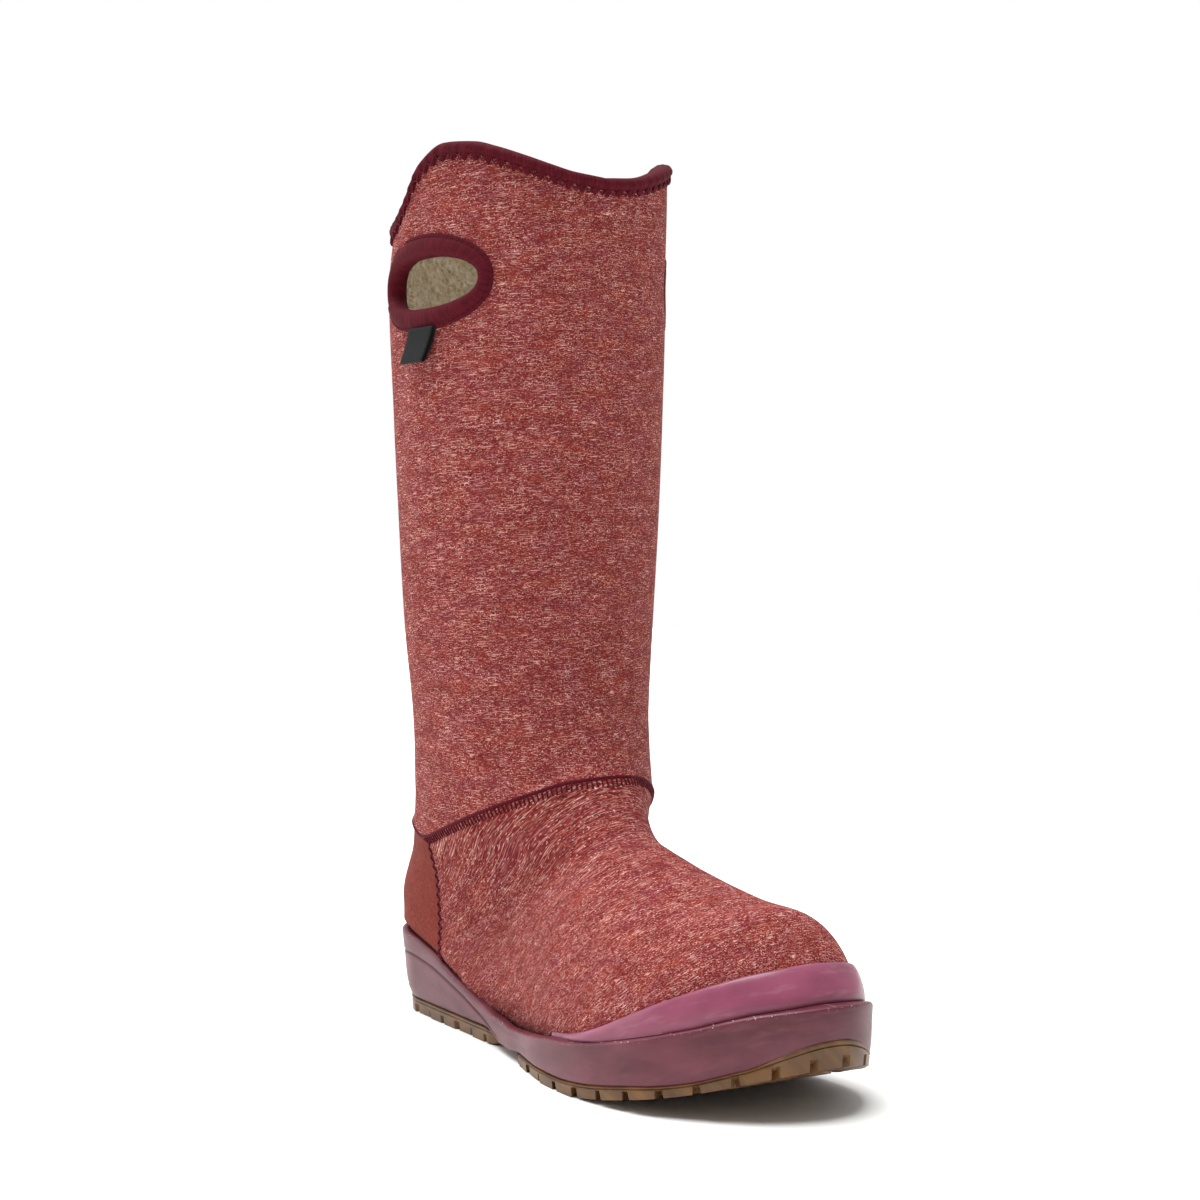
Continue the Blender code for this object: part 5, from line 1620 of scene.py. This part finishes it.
@dataclass
class GumSole:
    """Gum rubber outsole with lugs round its edge, cross bars and a raised arch."""

    finishes: Finishes
    lug_depth: float = 0.0032
    lug_reach: float = 0.0095
    lug_step: float = 0.0014
    notch: float = 0.0034
    draft: float = 0.0008
    pitch: float = 0.0140
    lug_share: float = 0.6
    joint_step: float = 0.0006
    waist_inset: float = 0.0070
    tread_gap: float = 0.0035
    chevron: float = 0.007
    chamfer: float = 0.0004
    lip: float = 0.0018
    recess: float = 0.0007

    def marks(self) -> tuple[Array, Array, Array]:
        """Turns of the columns, 1 where a column is in a notch, and each column's lug number."""
        fine = np.linspace(0.0, 1.0, 800)
        run = walked(FORM.plan_point(fine, 0 * fine))
        pairs = max(int(round(run[-1] / self.pitch)), 4)
        pitch = run[-1] / (pairs - 0.5)
        half = (pitch - self.notch) / 2
        marks, notch, number = [], [], []
        for i in range(pairs):
            for offset in (-half - self.draft, -half, -half / 2, 0.0,
                           half / 2, half, half + self.draft):
                marks.append(i * pitch + offset)
                notch.append(float(abs(offset) > half * 1.01))
                number.append(i)
        marks, notch, number = np.array(marks), np.array(notch), np.array(number)
        inside = (marks > 1e-6) & (marks < run[-1] - 1e-6)
        side, cut, lug = np.interp(marks[inside], run, fine), notch[inside], number[inside]
        turn = np.concatenate([[0.0], side, [1.0], 2 - side[::-1]])
        notch = np.concatenate([[0.0], cut, [cut[-1]], cut[::-1]])
        return turn, notch, np.concatenate([[0], lug, [lug[-1]], lug[::-1]])

    def build(self) -> bpy.types.Object:
        """Make the outsole."""
        turn, notch, lug = self.marks()
        count = len(turn)
        x = FORM.plan_point(turn, 0 * turn)[:, 0]
        inset = FORM.undercut(x) + FORM.waist(x) * self.waist_inset
        top, low = FORM.gum_top(x), FORM.ground(x)
        depth = np.minimum(self.lug_depth, self.lug_share * (top - low))
        set_back = self.recess * (lug % 3 == 1) * (1 - FORM.waist(x))
        lip = np.minimum(self.lip, 0.35 * (top - low - depth))

        def ring(reach: Array, z: Array) -> Array:
            """Ring set in by a reach at heights."""
            made = FORM.plan_point(turn, inset + reach)
            made[:, 2] = z
            return made

        body = low + depth
        rings = [
            ring(self.joint_step + 0 * x, top), ring(0 * x, top - 0.0004),
            ring(-0.0002 + 0 * x, top - lip * 0.6), ring(0 * x, top - lip),
            ring(0.0005 + 0 * x, top - lip - 0.0003), ring(0.0001 + 0 * x, top - lip - 0.0007),
            ring(set_back, np.maximum(body + 0.0003, low)),
        ]
        for reach in (set_back + self.lug_step * notch, self.lug_reach + 0 * notch):
            made = ring(reach + self.chamfer, low)
            made[:, 2] = FORM.ground(made[:, 0]) + depth * notch
            rings.append(made)
        for reach, height in ((self.lug_reach + 2 * self.chamfer, 1.0),
                              (self.lug_reach + self.tread_gap, 1.0),
                              (self.lug_reach + self.tread_gap + 2 * self.chamfer, 0.0)):
            made = ring(reach + 0 * x, low)
            made[:, 2] = FORM.ground(made[:, 0]) + depth * np.where(notch > 0.5, 1.0, height)
            rings.append(made)
        half = count // 2
        inner = rings[-1]
        points = np.concatenate(rings)
        middle = []
        for i in range(1, half):
            across = (inner[i] + inner[count - i]) / 2
            width = np.abs(inner[i, 1] - inner[count - i, 1]) / FORM.ball_width
            across[0] += self.chevron * rounded_end(width)
            across[2] = FORM.ground(across[0]) + depth[i] * notch[i]
            middle.append(across)
        faces = grid_faces(len(rings), count, wrap_columns=True)[0].tolist()
        faces += strip_faces(0, count)
        start = (len(rings) - 1) * count
        spine = [start] + [len(points) + i for i in range(half - 1)] + [start + half]
        for i in range(half):
            left = (start + i, start + i + 1, spine[i + 1], spine[i])
            right = (spine[i], spine[i + 1], start + (count - i - 1) % count,
                     start + (count - i) % count)
            for face in (left, right):
                corners = [p for n, p in enumerate(face) if p not in face[:n]]
                if len(corners) > 2:
                    faces.append(tuple(corners))
        everything = np.concatenate([points, np.array(middle)])
        angle = np.arctan2(everything[:, 1], everything[:, 0] - 0.14)
        flat = np.stack([everything[:, 0] + 0.05 * angle, everything[:, 2] + everything[:, 1]], -1)
        uv = np.concatenate([flat[list(face)] for face in faces]) / MM
        sole = make_piece("gum_outsole", everything, faces, [self.finishes.gum], uv, sharp=35)
        add_modifier(sole, "BEVEL", width=0.00022, segments=2, limit_method="ANGLE",
                     angle_limit=math.radians(38), harden_normals=False)
        return declare(sole, "gum_rubber", "outsole")


@dataclass
class Footbed:
    """Removable felt footbed with a raised, rounded edge."""

    finishes: Finishes
    columns: int = 160
    wall: float = 0.0035
    ease: float = 0.0035

    def build(self) -> bpy.types.Object:
        """Make the footbed."""
        turn = np.arange(self.columns) * 2.0 / self.columns
        inset = FORM.cup_wall + FORM.wall + self.ease
        rings = []
        for inward, up in ((0.0006, 0.0), (0.0, 0.3), (0.0, 0.7), (0.0006, 1.0), (0.004, 1.05),
                           (0.011, 0.95), (0.018, 0.92)):
            ring = FORM.plan_point(turn, inset + inward + 0 * turn)
            ring[:, 2] = FORM.tray(ring[:, 0]) + 3 * FORM.gap + FORM.wall + up * self.wall
            rings.append(ring)
        grid = np.stack(rings)
        faces = grid_faces(len(grid), self.columns, wrap_columns=True)[0].tolist()
        faces += strip_faces(0, self.columns)
        faces += strip_faces((len(grid) - 1) * self.columns, self.columns)
        footbed = make_piece("felt_footbed", grid, faces, [self.finishes.footbed], sharp=60)
        return declare(footbed, "footbed_felt", "insole")


@dataclass
class Studio:
    """White floor, soft light and the camera."""

    camera_at: tuple[float, float, float] = (0.81281, -0.43160, 0.193)
    look: tuple[float, float, float] = (-0.85717, 0.51504, 0.0)
    lens: float = 61.44
    shift: tuple[float, float] = (-0.0025, -0.0175)
    floor: float = 6.0

    def add_camera(self) -> None:
        """Set the camera at the viewing angle of the photograph."""
        data = bpy.data.cameras.new("camera")
        data.lens, data.sensor_width, data.clip_start = self.lens, 36.0, 0.01
        data.shift_x, data.shift_y = self.shift
        camera = bpy.data.objects.new("camera", data)
        camera.location = self.camera_at
        camera.rotation_euler = (math.pi / 2, 0.0, math.atan2(-self.look[0], self.look[1]))
        bpy.context.collection.objects.link(camera)
        bpy.context.scene.camera = camera

    def add_sun(self, name: str, strength: float, spread: float,
                towards: tuple[float, float, float],
                colour: str = "#FFFFFF") -> None:
        """Add one even light.

        Args:
            name: Name of the light.
            strength: Power on a face square to it.
            spread: Angle in degrees from which it comes.
            towards: Direction from the boot to the light.
            colour: Hex colour.
        """
        data = bpy.data.lights.new(name, "SUN")
        data.energy, data.angle = strength, math.radians(spread)
        data.color = linear(colour)[:3]
        light = bpy.data.objects.new(name, data)
        away = unit(np.array(towards))
        light.rotation_euler = (math.acos(away[2]), 0.0, math.atan2(away[0], -away[1]))
        bpy.context.collection.objects.link(light)

    def add_world(self) -> None:
        """Light the boot evenly, less from the camera's end of the room, before white."""
        world = bpy.data.worlds.new("room")
        bpy.context.scene.world = world
        world.use_nodes = True
        tree = world.node_tree
        tree.nodes.clear()
        coords = add_node(tree, "ShaderNodeTexCoord").outputs["Generated"]
        facing = add_node(tree, "ShaderNodeVectorMath", {"operation": "DOT_PRODUCT",
                                                         1: self.look},
                        {0: coords}).outputs["Value"]
        share = add_node(tree, "ShaderNodeMapRange", {"From Min": -0.9, "From Max": 0.6,
                                                      "To Min": 0.19, "To Max": 0.75},
                         {"Value": facing}).outputs[0]
        lit = add_node(tree, "ShaderNodeBackground", {"Color": (1, 1, 1, 1)}, {"Strength": share})
        seen = add_node(tree, "ShaderNodeBackground", {"Color": (1, 1, 1, 1), "Strength": 1.0})
        path = add_node(tree, "ShaderNodeLightPath").outputs["Is Camera Ray"]
        both = add_node(tree, "ShaderNodeMixShader", {}, {0: path, 1: lit.outputs[0],
                                                          2: seen.outputs[0]})
        add_node(tree, "ShaderNodeOutputWorld", {}, {"Surface": both.outputs[0]})

    def add_floor(self) -> None:
        """Lay the white floor."""
        half = self.floor
        mesh = bpy.data.meshes.new("floor")
        mesh.from_pydata([(-half, -half, 0), (half, -half, 0), (half, half, 0), (-half, half, 0)],
                         [], [(0, 1, 2, 3)])
        material = bpy.data.materials.new("white_paper_sweep")
        material.use_nodes = True
        shader = material.node_tree.nodes["Principled BSDF"]
        shader.inputs["Base Color"].default_value = linear("#F6F6F4")
        shader.inputs["Roughness"].default_value = 0.9
        shader.inputs["Specular IOR Level"].default_value = 0.1
        mesh.materials.append(material)
        floor = bpy.data.objects.new("floor", mesh)
        bpy.context.collection.objects.link(floor)

    def build(self) -> None:
        """Set up floor, lights and camera."""
        self.add_camera()
        self.add_world()
        self.add_floor()
        self.add_sun("top_light", 4.5, 45.0, (-0.03, -0.20, 1.0))
        self.add_sun("side_light", 0.7, 50.0, (-0.75, -0.65, 0.35))
        bpy.context.scene.view_settings.view_transform = "Standard"


def main() -> None:
    """Dress the boot from the ground up, and light it."""
    logging.basicConfig(level=logging.INFO, format="%(message)s")
    finishes = Finishes()
    upper = TextileUpper(finishes)
    GumSole(finishes).build()
    RubberCup(finishes).build()
    Footbed(finishes).build()
    upper.build()
    Seams(upper, finishes).build()
    ToeBumper(finishes).build()
    CollarBinding(finishes).build()
    for side in Side:
        HandleBinding(side, finishes).build()
    SideTab(finishes).build()
    FleeceTufts(finishes).build()
    Studio().build()


if __name__ == "__main__":
    main()
